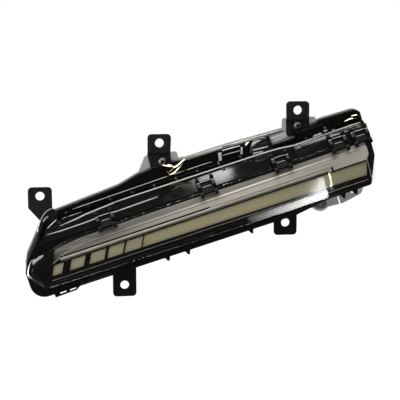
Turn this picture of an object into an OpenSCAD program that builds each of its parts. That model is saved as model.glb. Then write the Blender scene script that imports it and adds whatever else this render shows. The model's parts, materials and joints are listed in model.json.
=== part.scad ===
// Daytime running light of a car: a long lamp that rises to one side, held by five sheet steel brackets.
// Row frame: X runs across the lamp, Y goes back into the car, Z is up.
// The origin is the middle of the fixing hole at the inner end, on the front face of its bracket.
// Body frame: u runs along the lamp, w goes back, v is square to both. It is tilted about Y by the slope.

/* [Placing] */
// Angle by which the lamp rises to its outer end, degrees
slope_deg = 17.2; // [12:0.1:20]
// From the fixing hole to the lower inner corner of the light strip, sideways
strip_x = 10.05; // [6:0.5:16]
// From the fixing hole down to the same corner
strip_drop = 70.2; // [68:0.5:75]
// From the front faces of the bracket tabs back to the joint of the rear housing
tab_lay = 4; // [3:0.5:6]

/* [Light strip] */
// Length of the light strip along its lower edge
strip_len = 325.2; // [300:1:350]
// Height of the strip at its inner end
strip_h = 9.8; // [8:0.2:11]
// How far the lower edge of the strip falls towards the outer end
strip_fall = 3.6; // [0:0.1:5]
// Lean of the dividers, sideways for each millimetre of height
divider_lean = 0.55; // [0:0.05:0.8]
// Lengths of the short windows at the inner end
window_lens = [9.8, 14.2, 15.2, 15.9, 17];
// Widths of the dividers after each short window
divider_widths = [7.8, 5.6, 3, 1.7, 1.2];
// Number of light emitting chips on the board
chip_count = 16; // [8:1:24]

/* [Lens] */
// Wall of the clear lens
lens_wall = 2; // [1.8:0.1:3]
// Depth of the flat front of the lens behind the front plane of the body
lens_front_w = 2; // [1:0.5:3]
// Height of the upper crease of the lens
crease_v = 22; // [20:0.5:24]
// Depth of the upper crease
crease_w = 4.5; // [3.5:0.5:6]
// Height of the lower crease
low_crease_v = -5; // [-6:0.5:-3]
// How far the nose of the lens reaches inwards past the strip
nose_len = 21.4; // [18:0.5:24]
// How far the lens reaches outwards past the strip
end_len = 13; // [12:0.5:16]

/* [Frame] */
// Wall of the black frame
frame_wall = 2.4; // [2:0.1:3]
// Depth of the flat front of the frame
face_w = 12; // [11:0.5:13]
// Thickness of that front, which holds the groove of the lens
face_t = 3; // [2.6:0.1:4]
// Height of the front edge of the ledge
ledge_v = 33.2; // [33:0.1:35]
// Height of the rear edge of the ledge
lip_v = 43.2; // [41:0.2:46]
// Thickness of the lip at the rear edge of the ledge
lip_t = 1.6; // [1.2:0.1:3]
// Height of the floor of the trough behind the ledge
trough_v = 34; // [33:0.5:36]
// Depth of the joint between the frame and the rear housing
split_w = 60; // [56:0.5:66]
// From the front face of the upright wall back to that joint
wall_set = 10; // [8:0.5:12]
// Width of the trough between the ledge and the upright wall
trough_wide = 10; // [8:0.5:13]
// Radius of the round flange at the lower inner corner
flange_r = 15; // [10:0.5:18]
// Spacing of the ribs in the trough
rib_pitch = 23; // [18:1:30]
// Thickness of the ribs
rib_t = 1.5; // [1:0.1:2]

/* [Rear housing] */
// Wall of the rear housing
rear_wall = 2.5; // [2:0.1:3]
// Depth of the chamber behind that joint
chamber_deep = 28; // [26:1:34]
// How far the flange of the rear housing stands out past the frame
flange_lip = 0.8; // [0.3:0.1:1.5]
// Width of the ledge between the frame's outline and the chamber
flange_w = 10; // [9:0.5:12]

/* [Brackets] */
// Diameter of the fixing holes
fix_hole_d = 9; // [7:0.5:10]
// Thickness of the bracket steel
steel_t = 2; // [1.5:0.1:2.5]
// Width of each bracket tab
tab_width = 24; // [22:0.5:26]
// From the middle of the fixing hole to the free end of the tab
tab_end = 9; // [8:0.5:12]
// Corner radius of the tabs
tab_r = 4; // [2:0.5:6]
// Diameter of the bracket screws
screw_d = 4.2; // [3:0.2:5]

/* [Lens clips] */
// Width of each clip
clip_len = 18; // [14:0.5:20]
// Thickness of the two cheeks of a clip
cheek_t = 3.2; // [2:0.1:4]
// Diameter of the bar between the cheeks
clip_bar_d = 3.2; // [2:0.1:4]
// Height of the cheeks above the front edge of the ledge
clip_rise = 11; // [8:0.5:13]

/* [Clearances] */
// Gap between parts that slide together
fit = 0.3; // [0.1:0.05:0.4]
// Gap between parts that seat face to face
seat = 0.1; // [0.05:0.05:0.2]
// Gap between the lens and the bezel behind it
lens_air = 0.7; // [0.5:0.1:1]
// Thickness of the bezel
bezel_t = 1.8; // [1.2:0.1:2.2]
// Thickness of a flat gasket
gasket_t = 0.8; // [0.5:0.1:1.2]

/* [Hidden] */
$fn = 48;

BLACK = [0.08, 0.08, 0.08];
STEEL_BLACK = [0.2, 0.19, 0.18];
GREY = [0.62, 0.61, 0.59];

body_len = strip_len + end_len;
wall_w = split_w - wall_set;
lip_w = wall_w - trough_wide;
back_w = split_w + chamber_deep;
tab_depth = split_w - tab_lay;
body_place = [strip_x, -tab_depth, -strip_drop];
// A place in the row frame, from body coordinates
function row_of(u, v) = [
    strip_x + u * cos(slope_deg) - v * sin(slope_deg), -strip_drop + u * sin(slope_deg) + v * cos(slope_deg)
];

// Polygon tools: a corner is [u, v] or [u, v, radius], and outlines run anticlockwise.
function flat(p) = [p[0], p[1]];
function unit(a) = a / norm(a);
function left_of(a) = [-a[1], a[0]];
function meet(a, da, b, db) = a + da * (cross(b - a, db) / cross(da, db));
function wrap(p, i) = p[(i + len(p)) % len(p)];
function inset_corner(a, b, c, d) =
    let (e = unit(b - a), f = unit(c - b))
    abs(cross(e, f)) < 0.001 ? b + left_of(e) * d : meet(b + left_of(e) * d, e, b + left_of(f) * d, f);
// Moves every side of an outline inwards by d, or outwards where d is negative
function inset(p, d) = [
    for (i = [0:len(p) - 1])
        let (q = inset_corner(flat(wrap(p, i - 1)), flat(p[i]), flat(wrap(p, i + 1)), d))
        [q[0], q[1], len(p[i]) > 2 && p[i][2] > 0 ? max(p[i][2] - d, 0.6) : 0]
];
// Replaces each corner that has a radius by an arc of short sides
function arc_of(a, b, c, r) =
    let (e = unit(a - b), f = unit(c - b),
         half = acos(e * f) / 2,
         reach = min(r / tan(half), norm(a - b) * 0.49, norm(c - b) * 0.49),
         rr = reach * tan(half),
         m = b + unit(e + f) * (rr / sin(half)),
         a0 = b + e * reach - m,
         a1 = b + f * reach - m,
         turn = atan2(cross(a0, a1), a0 * a1),
         n = max(2, ceil(abs(turn) / 12)))
    [for (i = [0:n]) let (t = turn * i / n) m + [a0[0] * cos(t) - a0[1] * sin(t), a0[0] * sin(t) + a0[1] * cos(t)]];
function rounded(p) = [
    for (i = [0:len(p) - 1])
        each len(p[i]) > 2 && p[i][2] > 0
            ? arc_of(flat(wrap(p, i - 1)), flat(p[i]), flat(wrap(p, i + 1)), p[i][2])
            : [flat(p[i])]
];

// Prisms along the three body directions
module prism_u(p, u0, u1) {
    translate([u0, 0, 0]) rotate([90, 0, 90]) linear_extrude(u1 - u0) polygon(rounded(p));
}
module prism_w(p, w0, w1) {
    translate([0, w1, 0]) rotate([90, 0, 0]) linear_extrude(w1 - w0) polygon(rounded(p));
}
module prism_v(p, v0, v1) {
    translate([0, 0, v0]) linear_extrude(v1 - v0) polygon(rounded(p));
}
module pin_w(u, v, r, w0, w1) {
    translate([u, w1, v]) rotate([90, 0, 0]) cylinder(r = r, h = w1 - w0);
}
module box(u0, u1, w0, w1, v0, v1) {
    translate([u0, w0, v0]) cube([u1 - u0, w1 - w0, v1 - v0]);
}
module in_body() {
    translate(body_place) rotate([0, -slope_deg, 0]) children();
}
far = 500;
// Middle and radius of the service cap on the upright wall
cap_u = strip_len - 87.4;
cap_v = 47.2;
cap_r = 11.5;
cap_neck_r = 7.1;

// Front outlines of the lens and the frame
function lens_outline() = [
    [-10, -10, 1.5], [strip_len - 75, -13.8, 0], [body_len - 8, -12.9, 2], [body_len, 12.5, 2],
    [body_len - 1.5, ledge_v - 0.3, 2.5], [strip_len - 148, ledge_v - 1.8, 0], [38, ledge_v - 4, 0],
    [13, ledge_v - 6.6, 4], [-14.5, 16.6, 3], [-nose_len, 8, 2]
];
rim_v = -19.4;
function frame_outline() = [
    [-nose_len - 2.3, rim_v, flange_r], [strip_len - 78, rim_v - 1.8, 0], [strip_len - 40, rim_v + 3.2, 0],
    [strip_len + 3.6, rim_v + 3.4, 3], [body_len + 1.6, 12, 0],
    [body_len + 1.6, ledge_v - 0.2, 2], [body_len + 10, ledge_v + 3, 3], [body_len + 9.6, 54.5, 9],
    [strip_len - 18, 55.7, 0], [strip_len - 31.5, 53.8, 0], [strip_len - 57, 56.2, 0],
    [strip_len - 122, 58.9, 0], [163, 59.4, 0], [149, 62.3, 5], [125, 62.6, 8], [112, 60.9, 6],
    [89, 55.6, 4], [9, 50.8, 8], [-18.6, 19.4, 8], [-nose_len - 2.3, 9.8, 4]
];

// The lens is where a side section, a front outline and a plan meet; d goes inwards from its outer face
function lens_section() = [
    [far, low_crease_v - 21], [face_w + gasket_t, low_crease_v - 21], [lens_front_w, low_crease_v],
    [lens_front_w, 12], [crease_w, crease_v], [face_w + gasket_t, ledge_v + 1.3], [far, ledge_v + 1.3]
];
function turned(p) = [for (i = [len(p) - 1:-1:0]) p[i]];
function lens_plan() = [
    [2, lens_front_w], [body_len - 5, lens_front_w], [body_len + 1, 6.5], [body_len + 7, face_w],
    [body_len + 7, far], [-nose_len - 8, far], [-nose_len - 8, face_w - 0.1]
];
module lens_form(d) {
    intersection() {
        prism_u(inset(turned(lens_section()), d), -60, body_len + 40);
        prism_w(inset(lens_outline(), d), -10, far);
        prism_v(inset(lens_plan(), d), -60, 90);
    }
}
module front_slab(w) {
    box(-80, body_len + 80, -20, w, -90, 120);
}
module outer_lens() {
    color([0.8, 0.8, 0.78, 0.35]) in_body() intersection() {
        difference() {
            lens_form(0);
            lens_form(lens_wall);
        }
        front_slab(groove_w - gasket_t - seat);
    }
}
groove_w = face_w + 1.6;
module lens_seal() {
    color("dimgray") in_body() difference() {
        prism_w(inset(lens_outline(), -fit + seat), groove_w - gasket_t, groove_w);
        prism_w(inset(lens_outline(), lens_wall + fit - seat), groove_w - far, groove_w + far);
    }
}

// Light strip windows, each a leaning four sided opening between the edges of the strip
function low_v(u) = -strip_fall * u / strip_len;
function window(u0, u1, lean1) = [
    [u0, low_v(u0)], [u1, low_v(u1)], [u1 + lean1 * (strip_h - low_v(u1)), strip_h],
    [u0 + divider_lean * (strip_h - low_v(u0)), strip_h]
];
function run_to(i) = i == 0 ? 0 : run_to(i - 1) + window_lens[i - 1] + divider_widths[i - 1];
short_count = len(window_lens);
main_u = run_to(short_count);
end_lean = 0.28;
module strip_windows() {
    for (i = [0:short_count - 1])
        prism_w(window(run_to(i), run_to(i) + window_lens[i], divider_lean), -10, face_w);
    prism_w(window(main_u, strip_len, end_lean), -10, face_w);
}
strip_poly = window(0, strip_len, end_lean);

// Reflector band above the strip, with the slot for the light guide below it
rod_d = 3.8;
rod_v = strip_h + 0.9 + fit + rod_d / 2;
rod_w = lens_front_w + lens_wall + lens_air + rod_d / 2 + 0.3;
rod_u0 = 13;
rod_u1 = strip_len - 36;
slot_top = rod_v + rod_d / 2 + fit;
slot_bottom = rod_v - rod_d / 2 - fit;
module rod_slot(w0, w1) {
    prism_w([[rod_u0 - 1, slot_bottom], [rod_u1 + 3.4, slot_bottom], [rod_u1 + 3.4, slot_top],
             [rod_u0 - 0.6, slot_top]], w0, w1);
}
band_end = rod_u1 + 5;
function band_outline() = [
    [4, slot_top - 4], [12, slot_top - 1], [13.5, slot_top + 1], [band_end, slot_top + 1],
    [band_end, strip_h + 1.6], [strip_len + 3.4, strip_h + 1.6], [strip_len + 7.6, slot_top + 1],
    [strip_len + 8.4, ledge_v + 6], [12, ledge_v + 6], [9, 19.8]
];
bezel_d = lens_wall + lens_air;
module bezel_shell(d, t) {
    difference() {
        lens_form(d);
        lens_form(d + t);
    }
}
module inner_bezel() {
    color(BLACK) in_body() intersection() {
        difference() {
            bezel_shell(bezel_d, bezel_t);
            strip_windows();
            prism_w(band_outline(), -10, face_w);
            rod_slot(-10, face_w);
        }
        front_slab(face_w - seat);
    }
}
module reflector_band() {
    color([0.6, 0.58, 0.55]) in_body() intersection() {
        bezel_shell(bezel_d, bezel_t);
        prism_w(inset(band_outline(), seat), -10, face_w - 0.5);
    }
}
bezel_back = lens_front_w + bezel_d + bezel_t;
diffuser_t = 2.8;
module diffuser_bar() {
    color([0.53, 0.51, 0.43]) in_body() intersection() {
        prism_w(inset(strip_poly, -0.9), bezel_back + seat, bezel_back + seat + diffuser_t);
        lens_form(bezel_d + bezel_t + seat);
    }
}
rod_pitch = 3;
rod_teeth = floor((rod_u1 - rod_u0) / rod_pitch);
module light_guide_rod() {
    // Saw teeth along the back of the rod throw the light forwards
    teeth = [for (i = [0:rod_teeth - 1]) each [
        [rod_u1 - i * rod_pitch, rod_w + rod_d / 2],
        [rod_u1 - (i + 0.6) * rod_pitch, rod_w + rod_d / 2 - 0.9]
    ]];
    rod_outline = concat([[rod_u0, rod_w - far], [rod_u1, rod_w - far]], teeth, [[rod_u0, rod_w + rod_d / 2]]);
    color([0.85, 0.84, 0.8]) in_body() intersection() {
        translate([rod_u0, rod_w, rod_v]) rotate([0, 90, 0]) cylinder(d = rod_d, h = rod_u1 - rod_u0);
        prism_v(rod_outline, rod_v - rod_d, rod_v + rod_d);
    }
}
channel_w = rod_w + rod_d / 2 + seat + 2.4;
module rod_channel() {
    // White strip behind the rod, with a shallow hollow for it
    color("white") in_body() difference() {
        prism_u([[rod_w, slot_bottom + seat], [channel_w, slot_bottom + seat], [channel_w, slot_top + 2.4],
                 [rod_w + 2.4, slot_top + 2.4], [rod_w + 1.6, slot_top - seat], [rod_w, slot_top - seat]],
                rod_u0 + 1.6, rod_u1 - fit);
        translate([rod_u0 - 3, rod_w, rod_v]) rotate([0, 90, 0]) cylinder(d = rod_d + 2 * seat, h = strip_len);
    }
}
module rod_led_board() {
    // Small board across the end of the rod, with its one chip facing the rod
    color("darkgreen") in_body() union() {
        box(rod_u1 + 1.6, rod_u1 + 2.8, rod_w - 1.6, face_w - seat, slot_bottom + seat, slot_top - seat);
        box(rod_u1 + seat, rod_u1 + 1.6, rod_w - 1.2, rod_w + 1.2, rod_v - 1.2, rod_v + 1.2);
    }
}

// Mixing trough, board and chips behind the strip
trough_front_w = bezel_back + diffuser_t + 3 * seat;
board_w = 28;
board_t = 1.6;
trough_wall = 1.4;
function trough_section() = [
    [trough_front_w, -12], [board_w - 1, low_v(strip_len) - 1], [board_w - 1, strip_h - 1.5],
    [15, strip_h + 0.9], [trough_front_w, strip_h + 0.9]
];
module mixing_trough() {
    color("white") in_body() difference() {
        intersection() {
            prism_u(trough_section(), -20, strip_len + 20);
            prism_w(inset(strip_poly, -0.9), 0, far);
        }
        intersection() {
            prism_u([for (p = inset(trough_section(), trough_wall)) [p[0] - (p[0] < 20 ? trough_wall : 0), p[1]]],
                    -20, strip_len + 20);
            prism_w(inset(strip_poly, trough_wall - 0.9), 0, far);
        }
        for (i = [0:chip_count - 1])
            box(chip_u(i) - 3.4, chip_u(i) + 3.4, 20, far, chip_v - 2.4, chip_v + 2.4);
    }
}
chip_v = 2.6;
function chip_u(i) = 9 + i * (strip_len - 20) / (chip_count - 1);
module led_chips() {
    color("khaki") in_body() for (i = [0:chip_count - 1])
        box(chip_u(i) - 2.5, chip_u(i) + 2.5, board_w - 1.4, board_w, chip_v - 1.75, chip_v + 1.75);
}
board_low_v = -8;
board_high_v = 11;
module led_board() {
    color("whitesmoke") in_body() difference() {
        box(-1, strip_len + 2, board_w, board_w + board_t, board_low_v, board_high_v);
        for (u = board_screw_us) pin_w(u, board_low_v + 3, 1.8, 0, far);
    }
}
board_screw_us = [16, strip_len / 2, strip_len - 14];
sink_w = board_w + board_t;

// Black frame: side section, front outline and plan meet in one moulded shell
function frame_section() = [
    [split_w, -60], [face_w, -60], [face_w, ledge_v], [lip_w, lip_v], [lip_w + lip_t, lip_v],
    [lip_w + lip_t + 0.8, trough_v], [wall_w, trough_v], [wall_w, 90], [split_w, 90]
];
ledge_rise = (lip_v - ledge_v) / (lip_w - face_w);
function ledge_at(w) = ledge_v + ledge_rise * (w - face_w);
under = frame_wall * sqrt(1 + ledge_rise * ledge_rise);
function frame_hollow() = [
    [far, -70], [face_w + face_t, -70], [face_w + face_t, ledge_at(face_w + face_t) - under],
    [lip_w + lip_t - frame_wall, ledge_at(lip_w + lip_t - frame_wall) - under],
    [lip_w + lip_t + 0.8 - frame_wall, trough_v - frame_wall], [wall_w + frame_wall, trough_v - frame_wall],
    [wall_w + frame_wall, 100], [far, 100]
];
function frame_plan() = [
    [-nose_len - 2.3, face_w - 5], [body_len + 1, face_w - 5], [body_len + 10, split_w], [body_len + 10, far],
    [-nose_len - 2.3, far]
];
window_d = lens_wall + lens_air + bezel_t + 0.2;
frame_screw_places = [
    [20, rim_v + 4.6], [118, rim_v + 4.2], [186, rim_v + 3.8], [strip_len - 13, rim_v + 7.6],
    [58, 48.8], [180, 54.4], [strip_len - 3, 49.4]
];
boss_r = 3.8;
module frame_shell() {
    difference() {
        intersection() {
            prism_u(turned(frame_section()), -60, body_len + 40);
            prism_w(frame_outline(), 0, split_w);
            prism_v(frame_plan(), -60, 100);
        }
        intersection() {
            prism_u(turned(frame_hollow()), -60, body_len + 40);
            prism_w(inset(frame_outline(), frame_wall), 0, far);
            prism_v(inset(frame_plan(), frame_wall), -60, 100);
        }
    }
}
rib_us = [for (u = [30:rib_pitch:strip_len - 5]) if (abs(u - cap_u) > cap_r + 4) u];
module trough_ribs() {
    // Thin ribs tie the upright wall to the lip
    for (u = rib_us)
        prism_u([[lip_w + lip_t - 0.4, trough_v - 0.5], [wall_w + 0.5, trough_v - 0.5],
                 [wall_w + 0.5, lip_v + 5], [lip_w + lip_t - 0.4, lip_v - 0.6]], u, u + rib_t);
}
module wall_posts() {
    // Square posts on the upright wall
    for (u = [strip_len - 131, strip_len - 107])
        box(u, u + 3.4, wall_w - 3.5, wall_w + 0.5, lip_v - 6, 57.5);
}
module locating_loop() {
    // Ladder shaped loop under the inner end
    w1 = face_w + face_t;
    difference() {
        prism_w([[-4, rim_v + 1], [-4, rim_v - 3.6, 1], [18, rim_v - 2.9, 1], [24.5, rim_v + 1]], face_w, w1);
        for (u = [1.5, 11.5])
            prism_w([[u, rim_v - 2.2], [u + 6.5, rim_v - 1.9], [u + 6.5, rim_v + 0.1], [u, rim_v - 0.2]], 0, w1 + 1);
    }
}
// Each hook: place along the edge, and how far the edge stands above the lower rim there
hooks = [[112, -0.4], [133, -0.7], [strip_len - 126, -1], [strip_len - 27, 3], [strip_len - 14, 3]];
module edge_hooks() {
    // Snap hooks for the bumper trim along the lower edge
    for (h = hooks) let (u = h[0], v = rim_v + h[1])
        prism_w([[u - 3.4, v + 1], [u - 0.4, v - 4.6], [u + 1.4, v - 4.6], [u + 3.4, v + 1]],
                face_w + 1, face_w + face_t + 3);
}
module ledge_panel() {
    // Raised flat panel on the inner part of the ledge, with a pointed end
    raise = 0.8;
    intersection() {
        prism_u([[face_w + 2, ledge_at(face_w + 2) - 1], [lip_w - 1, ledge_at(lip_w - 1) - 1],
                 [lip_w - 1, ledge_at(lip_w - 1) + raise], [face_w + 2, ledge_at(face_w + 2) + raise]], 0, strip_len);
        prism_v([[80, lip_w - 17], [124, lip_w - 13], [116, lip_w - 1.4], [79, lip_w - 1.4]], 20, 60);
    }
}
module ledge_ridges() {
    // Fine ridges along the outer part of the ledge
    for (w = [lip_w - 12.2:2.55:lip_w - 1.4])
        prism_u([[w, ledge_at(w) - 0.8], [w + 1.3, ledge_at(w + 1.3) - 0.8], [w + 1.3, ledge_at(w) + 1],
                 [w, ledge_at(w) + 0.7]], strip_len - 52, body_len - 4);
}
module plug_tower() {
    // Ribbed tower on the upright wall
    t0 = strip_len - 49;
    box(t0, t0 + 29, wall_w - 5, wall_w + 0.5, lip_v + 1, 51.5);
    for (u = [t0 + 1:5.5:t0 + 27]) box(u, u + 2.4, wall_w - 6.2, wall_w, lip_v - 4, 52.2);
}
wall_gap_u = strip_len - 76;
module inner_rim() {
    // Raised rim along the sloping inner edge
    intersection() {
        prism_u([[face_w, 10], [split_w, 10], [split_w, 60], [wall_w, 60], [lip_w, lip_v + 4], [face_w, ledge_v + 3]],
                -40, 13);
        difference() {
            prism_w(frame_outline(), face_w, split_w);
            prism_w(inset(frame_outline(), 1.8), 0, far);
        }
        prism_v(frame_plan(), -60, 100);
    }
}
module trough_rail() {
    // Thin rib along the floor of the trough
    prism_u([[lip_w + 4.4, trough_v - 0.5], [lip_w + 5.6, trough_v - 0.5], [lip_w + 5.6, trough_v + 3],
             [lip_w + 4.4, trough_v + 3]], 22, strip_len - 60);
}
module inner_bar() {
    // Slanted bar behind the inner end of the ledge
    intersection() {
        prism_w([[5.8, 38.2], [7.4, 36.4], [21.8, 42.2], [21.2, 44.6, 0.6]], lip_w + 2, lip_w + 7);
        prism_w(inset(frame_outline(), 0.5), 0, far);
    }
    prism_u([[lip_w + 2, trough_v - 0.5], [lip_w + 7, trough_v - 0.5], [lip_w + 7, 43], [lip_w + 2, 43]], 18.8, 20.4);
}
module front_frame() {
    color(BLACK) in_body() difference() {
        union() {
            frame_shell();
            trough_ribs();
            wall_posts();
            locating_loop();
            edge_hooks();
            ledge_panel();
            ledge_ridges();
            plug_tower();
            inner_rim();
            trough_rail();
            inner_bar();
            for (p = frame_screw_places) pin_w(p[0], p[1], boss_r, wall_w + 1, split_w);
        }
        // Opening behind the lens, and the groove for its edge
        prism_w(inset(lens_outline(), window_d), 0, face_w + face_t + 1);
        difference() {
            prism_w(inset(lens_outline(), -fit), 0, groove_w);
            prism_w(inset(lens_outline(), lens_wall + 6 * fit), -1, groove_w + 1);
        }
        // Hole behind the service cap
        pin_w(cap_u, cap_v, cap_neck_r + fit, wall_w - 1, wall_w + frame_wall + 1);
        // Gap in the upright wall beside the cap
        box(wall_gap_u, wall_gap_u + 25, wall_w - 1, split_w + 1, lip_v + 3.3, 80);
        for (p = frame_screw_places) pin_w(p[0], p[1], screw_d / 2 - 0.2, split_w - 8, split_w + 1);
        bracket_notches();
    }
}

// Rear housing: a flange that carries the brackets, and a chamber behind it
function chamber_outline() = [
    [-6, rim_v + flange_w, 6], [strip_len - 62, rim_v + flange_w - 1, 0], [strip_len - 46, rim_v + flange_w + 1.8, 0],
    [strip_len + 2, rim_v + flange_w + 1.8, 6], [body_len + 0.5, ledge_v + 2, 6],
    [body_len - 2, 55.5 - flange_w, 6], [strip_len - 40, 54.5 - flange_w, 8], [strip_len - 120, 60 - flange_w, 8],
    [120, 60 - flange_w, 8], [88, 54 - flange_w, 8], [20, 50 - flange_w, 10], [-9, 14, 8]
];
function chamber_section() = [
    [0, -60], [back_w - 10, -60], [back_w - 10, rim_v + flange_w - 2], [back_w, rim_v + flange_w + 7],
    [back_w, ledge_v + 3], [back_w - 14, ledge_v + 22], [0, ledge_v + 60]
];
module chamber(d) {
    intersection() {
        prism_w(inset(chamber_outline(), d), split_w - (d > 0 ? 5 : 0), back_w + 20);
        prism_u(inset(chamber_section(), d), -60, body_len + 60);
    }
}
sink_zone = [strip_len - 70, strip_len - 6, -4, 30];
cover_zone = [strip_len - 176, strip_len - 96, -2, 32];
plug_place = [cover_zone[0] - 33.2, 15];
breather_place = [plug_place[0] - 42, 16];
skirt = [
    [strip_len - 54.5, rim_v + 5], [strip_len - 52.8, rim_v - 12, 4], [strip_len - 45, rim_v - 18.6, 5],
    [strip_len - 35.6, rim_v - 16.6, 2], [strip_len - 20, rim_v - 17.8, 3], [strip_len + 2, rim_v - 14.2, 5],
    [strip_len + 6.3, rim_v - 7.6, 3], [strip_len + 5, rim_v + 5]
];
lug_place = [strip_len - 43.4, rim_v - 13.8];
skirt_hole = [strip_len - 6.6, rim_v - 9.8];
module lower_lugs() {
    // Plate with a tilted round lug and stiffening webs, for the trim below the lamp
    difference() {
        union() {
            prism_w(skirt, split_w, split_w + rear_wall);
            for (u = [strip_len - 36, strip_len - 20.4, strip_len - 1.5])
                prism_u([[split_w - 6, rim_v + 1.5], [split_w - 6, rim_v - 2], [split_w + 0.5, rim_v - 13.5],
                         [split_w + 0.5, rim_v + 1.5]], u, u + 1.6);
            translate([lug_place[0], split_w - 1, lug_place[1]]) rotate([25, 0, 0]) cylinder(r = 7, h = 3);
        }
        translate([lug_place[0], split_w - 1, lug_place[1]]) rotate([25, 0, 0]) translate([0, 0, -8])
            cylinder(r = 1.8, h = 20);
        pin_w(skirt_hole[0], skirt_hole[1], 1.6, 0, far);
        // Slot between the two halves of the plate
        box(strip_len - 23.5, strip_len - 21.6, 0, far, rim_v - 30, rim_v - 9.5);
    }
}
module top_rail() {
    // Light edge of the housing above the frame
    prism_w([[158, 52], [strip_len - 56, 50], [strip_len - 56.4, 58.5, 1], [strip_len - 122, 61.4, 0], [163, 61.6, 0],
             [156, 63, 1]], split_w, split_w + rear_wall);
}
module rear_housing() {
    color(GREY) in_body() difference() {
        union() {
            prism_w(inset(frame_outline(), -flange_lip), split_w, split_w + rear_wall);
            chamber(0);
            lower_lugs();
            top_rail();
            bracket_seats();
            for (z = [sink_zone, cover_zone]) for (p = corners_of(z, 4.5))
                pin_w(p[0], p[1], 3.4, back_w - 8, back_w);
            pin_w(breather_place[0], breather_place[1], 6, back_w - 1, back_w + 3);
            back_ribs();
        }
        chamber(rear_wall);
        for (z = [sink_zone, cover_zone]) box(z[0], z[1], split_w, back_w + 10, z[2], z[3]);
        for (z = [sink_zone, cover_zone]) for (p = corners_of(z, 4.5))
            pin_w(p[0], p[1], 1.4, back_w - 7, back_w + 1);
        for (p = frame_screw_places) pin_w(p[0], p[1], screw_d / 2 + 0.2, split_w - 1, split_w + rear_wall + 30);
        pin_w(breather_place[0], breather_place[1], 2.5, back_w - 10, back_w + 10);
        plug_cut();
        bracket_screw_holes();
    }
}
function corners_of(z, out) = [
    [z[0] - out, z[2] - out + 2], [z[1] + out, z[2] - out + 2], [z[1] + out, z[3] + out - 2], [z[0] - out, z[3] + out - 2]
];
module back_ribs() {
    // Stiffening ribs on the sloping top of the chamber
    for (u = [30:40:strip_len - 20])
        intersection() {
            chamber(-1.6);
            box(u, u + 1.8, split_w + rear_wall, back_w, ledge_v + 1, 90);
        }
}

// Brackets: pressed steel, upright in the car. Places are from the fixing holes in the row frame.
hole_a = [0, 0];
hole_b = row_of(141.4, 83.6);
hole_c = row_of(strip_len - 38.9, 71.6);
hole_d = row_of(strip_len - 84.2, -36.3);
hole_e = row_of(63.3, -44.7);
half = tab_width / 2;
bend_z = -11.4;
function tab_up(foot) = concat([[-half, tab_end, tab_r]], foot, [[half, tab_end, tab_r]]);
// Outlines from the fixing hole, anticlockwise, and the place of each fixing screw
foot_a = tab_up([[-half, -11.8, 1], [10, -37, 3], [23, -26, 3], [half, -12, 2]]);
foot_b = tab_up([[-half, bend_z - 1.5, 1], [-half + 4.5, -30, 2], [half + 2, -27, 2], [half - 1, bend_z, 0]]);
foot_c = tab_up([[-half + 0.5, bend_z + 1, 0], [-half + 1, -27, 2], [half + 2, -25, 2], [half, bend_z + 2, 0]]);
foot_d = [[half, -tab_end - 4, tab_r], [half, 25, 2], [-half, 22, 2], [-half, -tab_end - 4, tab_r]];
foot_e = [[half, -tab_end - 3, tab_r], [half, 30, 2], [-half, 24, 2], [-half, -tab_end - 3, tab_r]];
screw_a = [9, -26];
screw_b = [3, -19];
screw_c = [0.5, -16];
screw_d_at = [0, 17];
screw_e = [0, 21];
holes = [hole_a, hole_b, hole_c, hole_d, hole_e];
feet = [foot_a, foot_b, foot_c, foot_d, foot_e];
screws = [screw_a, screw_b, screw_c, screw_d_at, screw_e];
bent = [false, true, true, false, false];
foot_y = split_w - tab_depth;
module bracket_steel(i, grow) {
    translate([holes[i][0], 0, holes[i][1]]) intersection() {
        prism_w(inset(feet[i], -grow), -1, foot_y + 1);
        if (bent[i])
            // The foot steps back below the bend to lie on the rear housing
            prism_u([[-grow, 50], [-grow, bend_z + 2], [foot_y - steel_t - grow, bend_z - 1],
                     [foot_y - steel_t - grow, -60], [foot_y, -60], [foot_y, bend_z],
                     [steel_t + grow, bend_z + 3], [steel_t + grow, 50]], -60, 60);
        else
            prism_u([[-grow, 60], [-grow, -60], [steel_t + grow, -60], [steel_t + grow, 60]], -60, 60);
    }
}
module bracket(i) {
    color(STEEL_BLACK) difference() {
        bracket_steel(i, 0);
        translate([holes[i][0], 0, holes[i][1]]) {
            pin_w(0, 0, fix_hole_d / 2, -5, 20);
            pin_w(screws[i][0], screws[i][1], screw_d / 2 + fit, -5, 20);
        }
    }
}
module bracket_a() {
    bracket(0);
}
module bracket_b() {
    bracket(1);
}
module bracket_c() {
    bracket(2);
}
module bracket_d() {
    bracket(3);
}
module bracket_e() {
    bracket(4);
}
module in_row() {
    // From the body frame back to the row frame
    rotate([0, slope_deg, 0]) translate(-body_place) children();
}
module bracket_notches() {
    in_row() for (i = [0:4]) {
        translate([holes[i][0], 0, holes[i][1]])
            prism_w(inset(feet[i], -fit), bent[i] ? foot_y - steel_t - fit - 0.2 : -fit, foot_y + 1);
        translate([holes[i][0], 0, holes[i][1]])
            pin_w(screws[i][0], screws[i][1], screw_d + 0.8, -3, foot_y + 1);
    }
}
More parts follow.
